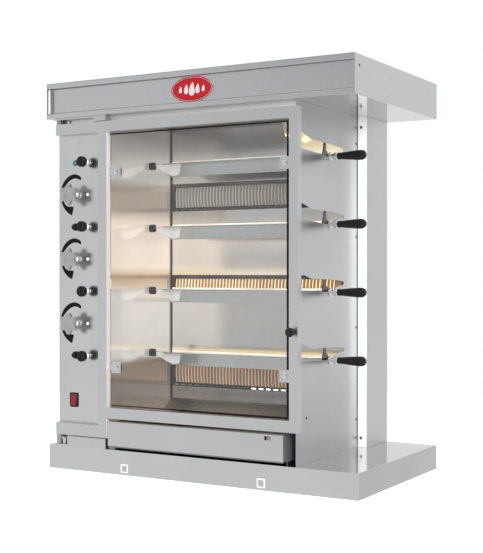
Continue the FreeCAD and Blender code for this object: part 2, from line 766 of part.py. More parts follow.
def gas_line():
    column = f"({LEFT} + gas_column)"
    half = "manifold_side / 2"
    far = f"({MANIFOLD} + manifold_side)"
    keep("gas_manifold", block(
        "manifold_bar", (f"{column} - {half}", f"{column} + {half}"), (MANIFOLD, far),
        (f"inlet_height - {half}", f"{gas_height(2)} + manifold_side"),
    ))
    back = f"({REAR} - rear_inset)"
    pipe = rod("inlet_pipe", "Y", (column, far, "inlet_height"), "inlet_pipe", f"{back} - {far}")
    flange = rod("inlet_flange", "Y", (column, back, "inlet_height"), "inlet_radius * 1.6", "2 * metal")
    nipple = rod("inlet_nipple", "Y", (column, f"{back} + 2 * metal", "inlet_height"), "inlet_radius",
                 f"{HOOD_REAR} - {back} - 3 * metal")
    bore = rod("inlet_bore", "Y", (column, f"{far} + metal", "inlet_height"), "inlet_radius * 0.7",
               "hood_depth")
    keep("gas_inlet", cut("inlet_cut", fuse("inlet_body", pipe, flange, nipple), bore))

    valves = []
    pipes = []
    bend = f"({column} + 4 * manifold_side)"
    rail = f"({CHAMBER_BACK} + burner_depth / 2)"
    for index in GAS_KNOBS:
        height = gas_height(index)
        reach = "0.8 * manifold_side"
        case = block(
            "valve_case", (f"{column} - {reach}", f"{column} + {reach}"),
            (f"{FRONT} + metal", MANIFOLD), (f"{height} - {reach}", f"{height} + {reach}"),
        )
        bore = rod("valve_bore", "Y", (column, FRONT, height), "spindle_radius + running_gap",
                   "manifold_depth / 2")
        valves.append(cut("valve", case, bore))
        outlet = f"({MANIFOLD} - manifold_side)"
        burner = BURNERS[index]
        start = f"({column} + 0.8 * manifold_side)"
        low, high = sorted((height, burner), key=amount)
        pipes.append(fuse(
            "feed_pipe",
            rod("feed_run", "X", (start, outlet, height), "pipe_radius", f"{bend} - {start}"),
            ball("feed_bend", (bend, outlet, height), "pipe_radius"),
            rod("feed_run", "Y", (bend, outlet, height), "pipe_radius", f"{rail} - {outlet}"),
            ball("feed_bend", (bend, rail, height), "pipe_radius"),
            rod("feed_run", "Z", (bend, rail, low), "pipe_radius", f"{high} - {low}"),
            ball("feed_bend", (bend, rail, burner), "pipe_radius"),
            rod("feed_run", "X", (bend, rail, burner), "pipe_radius",
                f"{CHAMBER_LEFT} + 3 * burner_margin - {bend}"),
        ))
    keep("gas_valves", group("valve_set", *valves))
    keep("burner_feed_pipes", group("feed_set", *pipes))

    for index in GAS_KNOBS:
        spindle = rod(
            "spindle", "Y", (column, f"{FRONT} - gas_reach + 3 * push_travel", gas_height(index)),
            "spindle_radius", "gas_reach - 3 * push_travel + manifold_depth / 2 - metal",
        )
        keep(f"gas_spindle_{index + 1}", spindle)
        keep(f"gas_knob_{index + 1}", gas_knob(index, column))


def gas_knob(index, column):
    """A six-lobed knob on a hub, with a blind bore for its spindle."""
    body = new_body(f"gas_knob_body_{index}")
    core = new_sketch(body, f"knob_core_{index}", "XZ_Plane")
    circle(core, "0", "0", "gas_core")
    pad(body, f"knob_core_pad_{index}", core, "gas_core")
    lobe = new_sketch(body, f"knob_lobe_{index}", "XZ_Plane")
    circle(lobe, "0", "lobe_circle", "lobe_radius")
    lobe_pad = pad(body, f"knob_lobe_pad_{index}", lobe, "gas_core")
    pattern = body.newObject("PartDesign::PolarPattern", f"knob_lobes_{index}")
    pattern.Originals = [lobe_pad]
    pattern.Axis = (origin_feature(body, "Y_Axis"), [""])
    pattern.Angle = 360
    pattern.Occurrences = 6
    body.Tip = pattern
    hub = new_sketch(body, f"knob_hub_{index}", "XZ_Plane")
    circle(hub, "0", "0", "gas_core / 2")
    pad(body, f"knob_hub_pad_{index}", hub, "gas_reach - gas_core - 2 * push_travel", reverse=True)
    bore = new_sketch(body, f"knob_bore_{index}", "XZ_Plane", "2 * push_travel + gas_core / 2")
    circle(bore, "0", "0", "spindle_radius + running_gap")
    pocket = body.newObject("PartDesign::Pocket", f"knob_bore_cut_{index}")
    pocket.Profile = bore
    bind(pocket, Length="gas_reach")
    place(body, column, f"{FRONT} - gas_reach + gas_core", gas_height(index))
    return body


# Drives: a gear motor on the left wall for each spit

def drives():
    motors = []
    for index in SPITS:
        height = spit_height(index)
        face = f"({CHAMBER_LEFT} - metal)"
        half = "motor_side / 2"
        box = block(
            "gear_case", (f"{face} - motor_depth", face), (f"{SPIT_LINE} - {half}", f"{SPIT_LINE} + {half}"),
            (f"{height} - {half}", f"{height} + {half}"),
        )
        can = rod("motor_can", "X", (f"{face} - 2 * motor_depth + fold", SPIT_LINE, height), "motor_radius",
                  "motor_depth - fold")
        bore = rod("output_bore", "X", (f"{face} - motor_depth / 2", SPIT_LINE, height),
                   "shaft_radius + running_gap", "motor_depth")
        motors.append(cut("gear_motor", fuse("motor_body", box, can), bore))
    keep("gear_motors", group("motor_set", *motors))


# Controls: motor switches, igniter buttons, pilot lamp and rocker switch on the control panel

def controls():
    behind = f"({FRONT} + metal)"
    units = []
    for index in SPITS:
        column = f"({LEFT} + switch_column)"
        height = spit_height(index)
        case = block(
            "switch_case", (f"{column} - switch_radius", f"{column} + switch_radius"),
            (behind, f"{behind} + switch_radius * 2"),
            (f"{height} - switch_radius", f"{height} + switch_radius"),
        )
        bore = rod("switch_bore", "Y", (column, FRONT, height), "stub_radius + running_gap", "switch_radius")
        units.append(cut("switch_unit", case, bore))
        knob = turned(f"switch_body_{index}", [
            ("metal", "0"),
            ("metal", "switch_radius * 0.62"),
            ("switch_reach * 0.3", "switch_radius * 0.72"),
            ("switch_reach * 0.5", "switch_radius"),
            ("switch_reach - metal", "switch_radius * 0.98"),
            ("switch_reach", "switch_radius * 0.86"),
            ("switch_reach", "0"),
        ])
        stub = new_sketch(knob, f"switch_stub_{index}", "YZ_Plane", "metal")
        circle(stub, "0", "0", "stub_radius")
        pad(knob, f"switch_stub_pad_{index}", stub, "switch_radius * 0.8", reverse=True)
        place(knob, column, FRONT, height, TOWARDS_FRONT)
        keep(f"switch_knob_{index + 1}", knob)

    column = f"({LEFT} + button_column)"
    for number, index in enumerate(IGNITER_SPITS, start=1):
        height = spit_height(index)
        collar = rod("igniter_collar", "Y", (column, f"{FRONT} - 3 * metal", height), "collar_radius",
                     "3 * metal")
        case = rod("igniter_case", "Y", (column, FRONT, height), "collar_radius - metal", "4 * collar_radius")
        bore = rod("igniter_bore", "Y", (column, f"{FRONT} - 4 * metal", height),
                   "button_radius + running_gap", "3 * collar_radius")
        units.append(cut("igniter_unit", fuse("igniter_body", collar, case), bore))
        button = turned(f"button_body_{number}", [
            ("0 - 4 * push_travel", "0"),
            ("0 - 4 * push_travel", "button_radius"),
            ("button_reach - metal", "button_radius"),
            ("button_reach - metal / 4", "button_radius * 0.8"),
            ("button_reach", "button_radius * 0.5"),
            ("button_reach", "0"),
        ])
        place(button, column, FRONT, height, TOWARDS_FRONT)
        keep(f"igniter_button_{number}", button)
    keep("panel_switches", group("switch_units", *units))

    lamp = turned("pilot_body", [
        ("0 - 3 * lamp_radius", "0"),
        ("0 - 3 * lamp_radius", "lamp_radius - metal"),
        ("0", "lamp_radius - metal"),
        ("0", "lamp_radius"),
        ("metal", "lamp_radius"),
        ("2 * metal", "lamp_radius * 0.7"),
        ("2.5 * metal", "lamp_radius * 0.4"),
        ("2.5 * metal", "0"),
    ])
    place(lamp, f"{LEFT} + lamp_column", FRONT, spit_height(3), TOWARDS_FRONT)
    keep("pilot_lamp", lamp)

    column = f"({LEFT} + rocker_column)"
    wide = "rocker_wide / 2"
    tall = "rocker_tall / 2"
    bezel = block(
        "rocker_bezel", (f"{column} - {wide}", f"{column} + {wide}"), (f"{FRONT} - 1.5 * metal", FRONT),
        (f"rocker_height - {tall}", f"rocker_height + {tall}"),
    )
    case = block(
        "rocker_case", (f"{column} - {wide} + metal", f"{column} + {wide} - metal"),
        (FRONT, f"{FRONT} + rocker_wide"),
        (f"rocker_height - {tall} + metal", f"rocker_height + {tall} - metal"),
    )
    hollow = block(
        "rocker_hollow", (f"{column} - {wide} + 1.5 * metal", f"{column} + {wide} - 1.5 * metal"),
        (f"{FRONT} - 2 * metal", f"{FRONT} + rocker_wide / 2"),
        (f"rocker_height - {tall} + 0.9 * metal + rest_gap",
         f"rocker_height + {tall} - 0.9 * metal - rest_gap"),
    )
    pivot_line = f"{FRONT} - metal / 2"
    pivot = rod("rocker_pivot", "X", (f"{column} - {wide} + metal", pivot_line, "rocker_height"),
                "rocker_pin", "rocker_wide - 2 * metal")
    hollowed = cut("rocker_cut", fuse("rocker_body", bezel, case), hollow)
    keep("rocker_frame", fuse("rocker_frame_body", hollowed, pivot))
    cap = new_body("rocker_cap_body")
    sketch = new_sketch(cap, "rocker_cap_profile", "YZ_Plane", "1.75 * metal - rocker_wide / 2")
    half = "rocker_tall * 0.436"
    polygon(sketch, [
        ("0 - 2.5 * metal", f"0 - {half}"),
        ("3 * metal", f"0 - {half}"),
        ("3 * metal", half),
        ("0 - 2.5 * metal", half),
        ("0 - 1.5 * metal", "0"),
    ])
    pad(cap, "rocker_cap_pad", sketch, "rocker_wide - 3.5 * metal")
    bore = new_sketch(cap, "rocker_bore", "YZ_Plane")
    circle(bore, "0", "0", "rocker_pin + running_gap")
    pierce(cap, "rocker_bore_cut", bore)
    place(cap, column, pivot_line, "rocker_height", FreeCAD.Rotation(FreeCAD.Vector(1, 0, 0), ROCKER_TILT))
    keep("rocker_cap", cap)


# Door: an open-backed frame with two long arms that turn on bushes, and a pane held by four clips

def door():
    opening_top = "door_head - rail_height"
    bars = {
        "top_rail": ((PIVOT, DOOR_RIGHT), (opening_top, "door_head")),
        "bottom_rail": ((DOOR_LEFT, DOOR_RIGHT), ("door_foot", "door_foot + rail_height")),
        "left_stile": ((DOOR_LEFT, f"{DOOR_LEFT} + left_stile"), ("arm_foot", "door_head")),
        "right_stile": ((f"{DOOR_RIGHT} - right_stile", DOOR_RIGHT), ("door_foot", "door_head")),
        "lower_arm": ((PIVOT, f"{DOOR_LEFT} + left_stile"), ("arm_foot", "arm_foot + arm_height")),
    }
    outer = []
    inner = []
    hollow_left = f"({PIVOT} + door_depth / 2)"
    for name, (x, z) in bars.items():
        outer.append(block(name, x, (DOOR_FRONT, DOOR_BACK), z))
        start = hollow_left if x[0] == PIVOT else f"{x[0]} + metal"
        inner.append(block(
            f"{name}_hollow", (start, f"{x[1]} - metal"), (f"{DOOR_FRONT} + metal", f"{DOOR_BACK} + metal"),
            (f"{z[0]} + metal", f"{z[1]} - metal"),
        ))
    outer.append(rod("top_eye", "Z", (PIVOT, PIVOT_LINE, opening_top), "door_depth / 2", "rail_height"))
    outer.append(rod("lower_eye", "Z", (PIVOT, PIVOT_LINE, "arm_foot"), "door_depth / 2", "arm_height"))
    wall = "2.5 * metal"
    bores = [
        rod("top_bore", "Z", (PIVOT, PIVOT_LINE, f"{opening_top} + {wall}"), "bush_radius", "rail_height"),
        rod("lower_bore", "Z", (PIVOT, PIVOT_LINE, "arm_foot - metal"), "bush_radius",
            f"arm_height + metal - {wall}"),
    ]
    keep("door_frame", cut("door_cut", fuse("door_bars", *outer), *inner, *bores))

    plate_low = f"({DECK} + bracket_plate)"
    plate_high = f"({ROOF} - bracket_plate)"
    bushes = []
    for low, high in (
        (f"({plate_low} + sheet_gap)", f"(arm_foot + arm_height - {wall})"),
        (f"({opening_top} + {wall})", f"({plate_high} - sheet_gap)"),
    ):
        tube = rod("bush_tube", "Z", (PIVOT, PIVOT_LINE, low), "bush_radius", f"{high} - {low}")
        bore = rod("bush_bore", "Z", (PIVOT, PIVOT_LINE, f"{low} - metal"), "pin_radius + running_gap",
                   f"{high} - {low} + 2 * metal")
        bushes.append(cut("bush", tube, bore))
    keep("hinge_bushes", group("bush_pair", *bushes))

    pane_low = "(door_foot + rail_height + glass_gap)"
    pane_high = f"({opening_top} - glass_gap)"
    pane = block("pane", (GLASS_LEFT, GLASS_RIGHT), (GLASS_FRONT, f"{GLASS_FRONT} + glass_thickness"),
                 (pane_low, pane_high))
    stile_left = f"({DOOR_LEFT} + left_stile)"
    stile_right = f"({DOOR_RIGHT} - right_stile)"
    columns = {
        -1: (stile_left, f"({stile_left} + clip_left)", GLASS_LEFT),
        1: (stile_right, f"({stile_right} - clip_right)", GLASS_RIGHT),
    }
    clips = []
    screws = []
    holes = []
    plate_front = f"({GLASS_FRONT} - metal - rest_gap)"
    plate_back = f"({GLASS_FRONT} + glass_thickness + rest_gap)"
    for side, (stile, middle, edge) in columns.items():
        near = f"({edge} + {side} * sheet_gap)"
        for height in ("clip_height_low", "clip_height_high"):
            half = "clip_side / 2"
            span = (f"{height} - {half}", f"{height} + {half}")
            tongue = (f"{height} - {half} / 2", f"{height} + {half} / 2")
            ends = (stile, middle) if side < 0 else (middle, stile)
            web = (stile, near) if side < 0 else (near, stile)
            front_x = (f"{middle} - {half}", f"{middle} + {half}")
            bore = rod("clip_bore", "Y", (middle, f"{GLASS_FRONT} - fold", height),
                       "stub_radius + sheet_gap", "2 * fold")
            clips.append(cut(
                "clip",
                fuse(
                    "clip_body",
                    block("clip_face", front_x, (plate_front, f"{plate_front} + metal"), span),
                    block("clip_tongue", ends, (plate_front, f"{plate_front} + metal"), tongue),
                    block("clip_back", ends, (plate_back, f"{plate_back} + metal"), tongue),
                    block("clip_pad", front_x, (plate_back, f"{plate_back} + metal"), tongue),
                    block("clip_web", web, (plate_front, f"{plate_back} + metal"), tongue),
                ),
                bore,
            ))
            holes.append(rod("pane_hole", "Y", (middle, f"{GLASS_FRONT} - fold", height),
                             "stub_radius + metal / 2", "2 * fold"))
            screws.append(fuse(
                "clip_screw",
                rod("clip_screw_head", "Y", (middle, f"{plate_front} - 2 * metal", height),
                    "screw_radius * 1.6", "2 * metal"),
                rod("clip_screw_shank", "Y", (middle, plate_front, height), "stub_radius",
                    "glass_thickness + 3 * metal + 2 * rest_gap"),
                rod("clip_screw_nut", "Y", (middle, f"{plate_back} + metal", height),
                    "screw_radius", "1.5 * metal"),
            ))
    keep("door_glass", cut("pane_cut", pane, *holes))
    keep("glass_clips", group("clip_set", *clips))
    keep("clip_screws", group("clip_screw_set", *screws))

    knob = turned("door_knob_body", [
        ("0", "0"),
        ("0", "door_knob_radius * 0.6"),
        ("0.3 * (knob_reach + door_front)", "door_knob_radius * 0.55"),
        ("0.5 * (knob_reach + door_front)", "door_knob_radius * 0.97"),
        ("0.66 * (knob_reach + door_front)", "door_knob_radius"),
        ("0.9 * (knob_reach + door_front)", "door_knob_radius * 0.85"),
        ("knob_reach + door_front", "door_knob_radius * 0.5"),
        ("knob_reach + door_front", "0"),
    ])
    place(knob, f"{DOOR_RIGHT} - right_stile / 2", DOOR_FRONT, "door_knob_height", TOWARDS_FRONT)
    keep("door_knob", knob)


# Hinge brackets on the plinth and under the hood, with their pins

def hinges():
    right = f"({LEFT} + bracket_width)"
    depth = (f"{HOOD_FRONT} + 3 * metal", FRONT)
    pads = {
        "low": ((DECK, f"{DECK} + bracket_plate"), (f"{DECK} + bracket_plate", f"{DECK} + bracket_height")),
        "high": (
            (f"{ROOF} - bracket_plate", ROOF),
            (f"{ROOF} - ceiling_gap + metal / 2", f"{ROOF} - bracket_plate"),
        ),
    }
    starts = {"low": f"{right} - bracket_block", "high": f"{right} - bracket_block_high"}
    brackets = []
    for name, (plate, boss) in pads.items():
        bore = rod("pin_hole", "Z", (PIVOT, PIVOT_LINE, f"{plate[0]} - metal"), "pin_radius",
                   "bracket_plate + 2 * metal")
        brackets.append(cut("bracket", fuse(
            "bracket_body",
            block("bracket_plate_solid", (LEFT, right), depth, plate),
            block("bracket_boss", (starts[name], right), depth, boss),
        ), bore))
    keep("hinge_brackets", group("bracket_pair", *brackets))
    low_top = "(arm_foot + arm_height - pin_setback)"
    high_foot = "(door_head - rail_height + pin_setback)"
    keep("hinge_pins", group(
        "pin_pair",
        rod("low_pin", "Z", (PIVOT, PIVOT_LINE, DECK), "pin_radius", f"{low_top} - {DECK}"),
        rod("high_pin", "Z", (PIVOT, PIVOT_LINE, high_foot), "pin_radius", f"{ROOF} - {high_foot}"),
    ))


# Drawer: a folded front with a pull slot, a tray behind it and two rails

def drawer():
    top = "(drawer_foot + drawer_height)"
    outer = block("drawer_outer", (DRAWER_LEFT, DRAWER_RIGHT),
                  (DRAWER_FRONT, f"{DRAWER_FRONT} + drawer_fold"), ("drawer_foot", top))
    inner = block(
        "drawer_inner", (f"{DRAWER_LEFT} + metal", f"{DRAWER_RIGHT} - metal"),
        (f"{DRAWER_FRONT} + metal", f"{DRAWER_FRONT} + 2 * drawer_fold"),
        ("drawer_foot + metal", f"{top} - metal"),
    )
    pull_start = f"({DRAWER_LEFT} + pull_left)"
    pull = block(
        "pull_slot", (pull_start, f"{pull_start} + pull_width"),
        (f"{DRAWER_FRONT} - metal", f"{DRAWER_FRONT} + fold"),
        (f"{top} - 3 * metal - pull_height", f"{top} - 3 * metal"),
    )
    keep("drawer_front", cut("drawer_cut", outer, inner, pull))

    front = f"({DRAWER_FRONT} + metal)"
    foot = "(drawer_foot + metal)"
    pan = block(
        "tray_outer", (TRAY_LEFT, TRAY_RIGHT), (front, f"{front} + tray_depth"),
        (foot, f"{foot} + tray_height"),
    )
    hollow = block(
        "tray_inner", (f"{TRAY_LEFT} + metal", f"{TRAY_RIGHT} - metal"),
        (f"{front} + metal", f"{front} + tray_depth - metal"),
        (f"{foot} + metal", f"{foot} + 2 * tray_height"),
    )
    finger = block(
        "finger_space", (pull_start, f"{pull_start} + pull_width"),
        (f"{front} - metal", f"{front} + 2 * metal"),
        (f"{top} - 3 * metal - pull_height", f"{foot} + 2 * tray_height"),
    )
    keep("drip_tray", cut("tray_cut", pan, hollow, finger))

    rails = []
    for outside, inward in ((f"({TRAY_LEFT} - 3 * metal)", 1), (f"({TRAY_RIGHT} + 3 * metal)", -1)):
        upright = sorted((outside, f"({outside} + {inward} * metal)"), key=amount)
        shelf = sorted((outside, f"({outside} + {inward} * 8 * metal)"), key=amount)
        run = (f"{FRONT} + fold", f"{front} + tray_depth + fold")
        rails.append(fuse(
            "rail",
            block("rail_upright", upright, run, (DECK, "drawer_foot + drawer_height / 2")),
            block("rail_shelf", shelf, run, (f"{foot} - metal - sheet_gap", f"{foot} - sheet_gap")),
        ))
    keep("drawer_rails", group("rail_pair", *rails))


# Spits: a drive socket, a tapered angle bar with an end disc and rings, and a turned handle

def spits():
    handle_start = f"({SLOTTED} + handle_inset)"
    neck = f"({CHAMBER_LEFT} + spit_start)"
    disc = f"({CHAMBER_RIGHT} - disc_inset)"
    for index in SPITS:
        axis = spit_height(index)
        web = new_body(f"spit_web_{index}")
        sketch = new_sketch(web, f"spit_outline_{index}", "XZ_Plane", f"0 - {SPIT_LINE} - spit_metal / 2")
        polygon(sketch, [
            (neck, f"{axis} + spit_top"),
            (neck, f"{axis} - spit_neck_foot"),
            (f"{neck} + spit_shoulder", f"{axis} - spit_neck_foot"),
            (f"{neck} + spit_slope", f"{axis} - spit_bottom"),
            (f"{disc} - spit_end_slope", f"{axis} - spit_bottom"),
            (disc, f"{axis} - spit_end_foot"),
            (disc, f"{axis} + spit_top"),
        ])
        pad(web, f"spit_pad_{index}", sketch, "spit_metal")
        leg = new_sketch(web, f"spit_leg_{index}", "XY_Plane", f"{axis} + spit_top - spit_metal")
        front = f"({SPIT_LINE} - spit_leg)"
        polygon(leg, [
            (f"{neck} + leg_start", f"{SPIT_LINE} + spit_metal / 2"),
            (f"{neck} + spit_slope", front),
            (f"{disc} - spit_end_slope", front),
            (f"{disc} - leg_end", f"{SPIT_LINE} + spit_metal / 2"),
        ])
        pad(web, f"spit_leg_pad_{index}", leg, "spit_metal")
        journal = f"({SLOTTED} + side_gap)"
        bar = fuse(
            "spit",
            web,
            rod("spit_disc", "X", (disc, SPIT_LINE, axis), "disc_radius", "disc_thickness"),
            rod("spit_journal", "X", (disc, SPIT_LINE, axis), "journal_radius", f"{handle_start} - {disc}"),
            rod("spit_ring", "X", (journal, SPIT_LINE, axis), "socket_radius", "disc_thickness"),
            rod("spit_ring", "X", (f"{handle_start} - 3 * disc_thickness", SPIT_LINE, axis),
                "socket_radius * 0.9", "2 * disc_thickness"),
            rod("spit_tang", "X", (handle_start, SPIT_LINE, axis), "tang_radius", "handle_length / 2"),
        )
        socket = fuse(
            "drive_socket",
            rod("socket_cup", "X", (f"{CHAMBER_LEFT} + side_gap", SPIT_LINE, axis), "socket_radius",
                "socket_length"),
            rod("socket_shaft", "X", (f"{CHAMBER_LEFT} - motor_depth / 3", SPIT_LINE, axis), "shaft_radius",
                "motor_depth / 3 + metal"),
        )
        keep(f"spit_bar_{index + 1}", group(f"spit_set_{index}", bar, socket))
        handle = turned(f"handle_body_{index}", [
            ("0", "tang_radius"),
            ("0", "handle_thin"),
            ("0.35 * handle_length", "handle_thin + 1"),
            ("0.75 * handle_length", "handle_thick"),
            ("0.9 * handle_length", "handle_thick"),
            ("0.97 * handle_length", "0.75 * handle_thick"),
            ("handle_length", "0.35 * handle_thick"),
            ("handle_length", "0"),
            ("handle_length / 2", "0"),
            ("handle_length / 2", "tang_radius"),
        ])
        place(handle, handle_start, SPIT_LINE, axis)
        keep(f"spit_handle_{index + 1}", handle)


# Fittings: oven lamp, cable gland and the screws that hold the casing

def fittings():
    lamp = turned("lamp_body", [
        ("0", "0"),
        ("0", "oven_lamp_radius"),
        ("3 * metal", "oven_lamp_radius"),
        ("4 * metal", "oven_lamp_radius * 0.8"),
        ("oven_lamp_drop * 0.7", "oven_lamp_radius * 0.72"),
        ("oven_lamp_drop * 0.9", "oven_lamp_radius * 0.45"),
        ("oven_lamp_drop", "0"),
    ])
    down = FreeCAD.Rotation(FreeCAD.Vector(0, 1, 0), 90)
    place(lamp, f"{CHAMBER_RIGHT} - oven_lamp_column", f"{FRONT} + oven_lamp_depth", CEILING, down)
    keep("oven_lamp", lamp)

    back = f"({REAR} - rear_inset)"
    column = f"{LEFT} + 2 * gas_column"
    gland = fuse(
        "gland_body",
        rod("gland_nut", "Y", (column, back, "inlet_height"), "lamp_radius * 1.3", "fold - metal"),
        rod("gland_sleeve", "Y", (column, f"{back} - fold", "inlet_height"), "lamp_radius", "fold + metal"),
    )
    hole = rod("gland_bore", "Y", (column, f"{back} - 2 * fold", "inlet_height"),
               "lamp_radius / 2", "4 * fold")
    keep("cable_gland", cut("gland_cut", gland, hole))

    thin = "screw_radius / 2"
    screws = []

    def screw(axis, point, outward):
        """A round head on a face at a point, with its shank behind it."""
        slot = "XYZ".index(axis)
        head = list(point)
        shank = list(point)
        head[slot] = point[slot] if outward > 0 else f"{point[slot]} - {thin}"
        shank[slot] = f"{point[slot]} - 2 * screw_radius" if outward > 0 else point[slot]
        screws.append(fuse(
            "screw",
            rod("screw_head", axis, head, "screw_radius", thin),
            rod("screw_shank", axis, shank, thin, "2 * screw_radius"),
        ))

    seam = f"{FRONT} + right_wall_depth - screw_radius"
    for share in SEAM_SHARES:
        screw("X", (SLOTTED, seam, f"{DECK} + {share} * ({ROOF} - {DECK})"), 1)
    screw("X", (SLOTTED, f"{FRONT} + wall_screw", "back_wall_foot + metal"), 1)
    for height in (f"{ROOF} - strip_screw_top", f"{DECK} + strip_screw_foot"):
        screw("Y", (f"{RIGHT} - strip_screw", STRIP, height), -1)
    hood_screw = (f"{HOOD_FRONT} + hood_screw", "overall_height - hood_screw")
    screw("X", (HOOD_RIGHT, *hood_screw), 1)
    screw("X", (HOOD_LEFT, *hood_screw), -1)
    for across in (f"{LEFT} + panel_screw", f"{RIGHT} - panel_screw"):
        for height in (f"{DECK} + panel_screw", f"{ROOF} - panel_screw"):
            screw("Y", (across, back, height), 1)
    column = f"{LEFT} + bolt_column"
    head = f"({DECK} + bracket_plate / 2 + bolt_length)"
    bolt_low = fuse(
        "low_bolt",
        rod("bolt_shank", "Z", (column, PIVOT_LINE, f"{DECK} + bracket_plate / 2"),
            "screw_radius", "bolt_length"),
        rod("bolt_head", "Z", (column, PIVOT_LINE, head), "1.7 * screw_radius", "bolt_head"),
    )
    column = f"{LEFT} + bolt_column_high"
    head = f"({ROOF} - bracket_plate - 1.5 * bolt_head)"
    bolt_high = fuse(
        "high_bolt",
        rod("bolt_shank", "Z", (column, PIVOT_LINE, f"{head} + bolt_head"), "screw_radius", "bolt_head"),
        rod("bolt_head", "Z", (column, PIVOT_LINE, head), "1.7 * screw_radius", "bolt_head"),
    )
    keep("case_screws", group("screw_set", *screws, bolt_low, bolt_high))


for build in (plinth, hood, casing, chamber, burners, gas_line, drives, controls, door, hinges, drawer,
              spits, fittings):
    build()
document.recompute()

for item in document.Objects:
    if {"Invalid", "Error"} & set(item.State):
        raise RuntimeError(f"{item.Name} did not build: {item.State}")
for item in nodes:
    if item.Shape.isNull() or not item.Shape.isValid():
        raise RuntimeError(f"{item.Label} has no valid shape")

os.makedirs("parts", exist_ok=True)
for item in nodes:
    item.Shape.exportStep(f"parts/{item.Label}.step")
whole = Part.makeCompound([item.Shape for item in nodes]).BoundBox
print(len(nodes), "sub-parts", whole)
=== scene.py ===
import json
import logging
import math
from collections.abc import Callable, Sequence
from dataclasses import dataclass
from enum import Enum

import bmesh
import bpy
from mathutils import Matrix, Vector


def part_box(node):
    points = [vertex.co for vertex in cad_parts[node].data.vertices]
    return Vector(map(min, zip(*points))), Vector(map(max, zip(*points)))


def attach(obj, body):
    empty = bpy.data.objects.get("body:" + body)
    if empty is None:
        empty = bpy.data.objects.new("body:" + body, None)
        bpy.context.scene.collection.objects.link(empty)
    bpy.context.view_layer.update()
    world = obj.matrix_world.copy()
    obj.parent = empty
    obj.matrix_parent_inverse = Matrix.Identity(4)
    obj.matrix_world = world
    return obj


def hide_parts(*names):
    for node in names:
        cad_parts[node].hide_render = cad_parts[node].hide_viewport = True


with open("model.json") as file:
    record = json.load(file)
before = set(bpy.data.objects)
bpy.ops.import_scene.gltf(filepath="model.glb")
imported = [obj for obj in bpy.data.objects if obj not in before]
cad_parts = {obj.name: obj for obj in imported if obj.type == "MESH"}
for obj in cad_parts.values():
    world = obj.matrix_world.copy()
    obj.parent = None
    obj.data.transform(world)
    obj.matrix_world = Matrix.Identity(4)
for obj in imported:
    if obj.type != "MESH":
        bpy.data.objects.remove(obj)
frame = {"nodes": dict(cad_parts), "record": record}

Color = tuple[float, float, float]
Profile = Sequence[tuple[float, float]]

LOG = logging.getLogger("oven")
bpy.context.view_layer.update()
MM = 0.001
SHARP = math.radians(30.0)
THICKEST_SHEET = 2.6 * MM
WHITE: Color = (1.0, 1.0, 1.0)
FLOAT, VECTOR = "NodeSocketFloat", "NodeSocketVector"
COLOR, MATERIAL = "NodeSocketColor", "NodeSocketMaterial"
RIM = 0.4 * MM
FORWARD = Vector((0.0, -1.0, 0.0))
RIGHTWARD = Vector((1.0, 0.0, 0.0))
DOWNWARD = Vector((0.0, 0.0, -1.0))
FRONT_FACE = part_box("control_panel")[0].y
GAS_COLUMN = (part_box("gas_knob_1")[0].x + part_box("gas_knob_1")[1].x) / 2
RECORD = frame["record"]
BODY_OF = {node: body for body, nodes in RECORD["behaviour"]["bodies"].items() for node in nodes}
SLOT_OF = {part["node"]: part["material_slot"] for part in RECORD["subparts"]}


class Grain(Enum):
    """Which way polishing lines run. The value scales the pattern along X, Y and Z, per metre."""

    ALONG_X = (7.0, 520.0, 520.0)
    ALONG_Y = (520.0, 7.0, 520.0)
    ALONG_Z = (520.0, 520.0, 7.0)
    ROUND_X = (900.0, 40.0, 40.0)
    ROUND_Y = (40.0, 900.0, 40.0)
    ROUND_Z = (40.0, 40.0, 900.0)
    EVEN = (260.0, 260.0, 260.0)


class Tone(Enum):
    """The tones of light inside the chamber."""

    DAY = (1.0, 0.93, 0.87)
    GOLD = (1.0, 0.83, 0.52)
    WARM = (1.0, 0.80, 0.65)
    FLAME = (1.0, 0.64, 0.40)

    def lit(self, strength: float) -> Color:
        """Return the tone at a strength."""
        red, green, blue = self.value
        return strength * red, strength * green, strength * blue


class Facing(Enum):
    """The way a screw head looks, as the turn in radians that brings +Z there."""

    RIGHT = (0.0, math.pi / 2, 0.0)
    LEFT = (0.0, -math.pi / 2, 0.0)
    FRONT = (math.pi / 2, 0.0, 0.0)
    BACK = (-math.pi / 2, 0.0, 0.0)


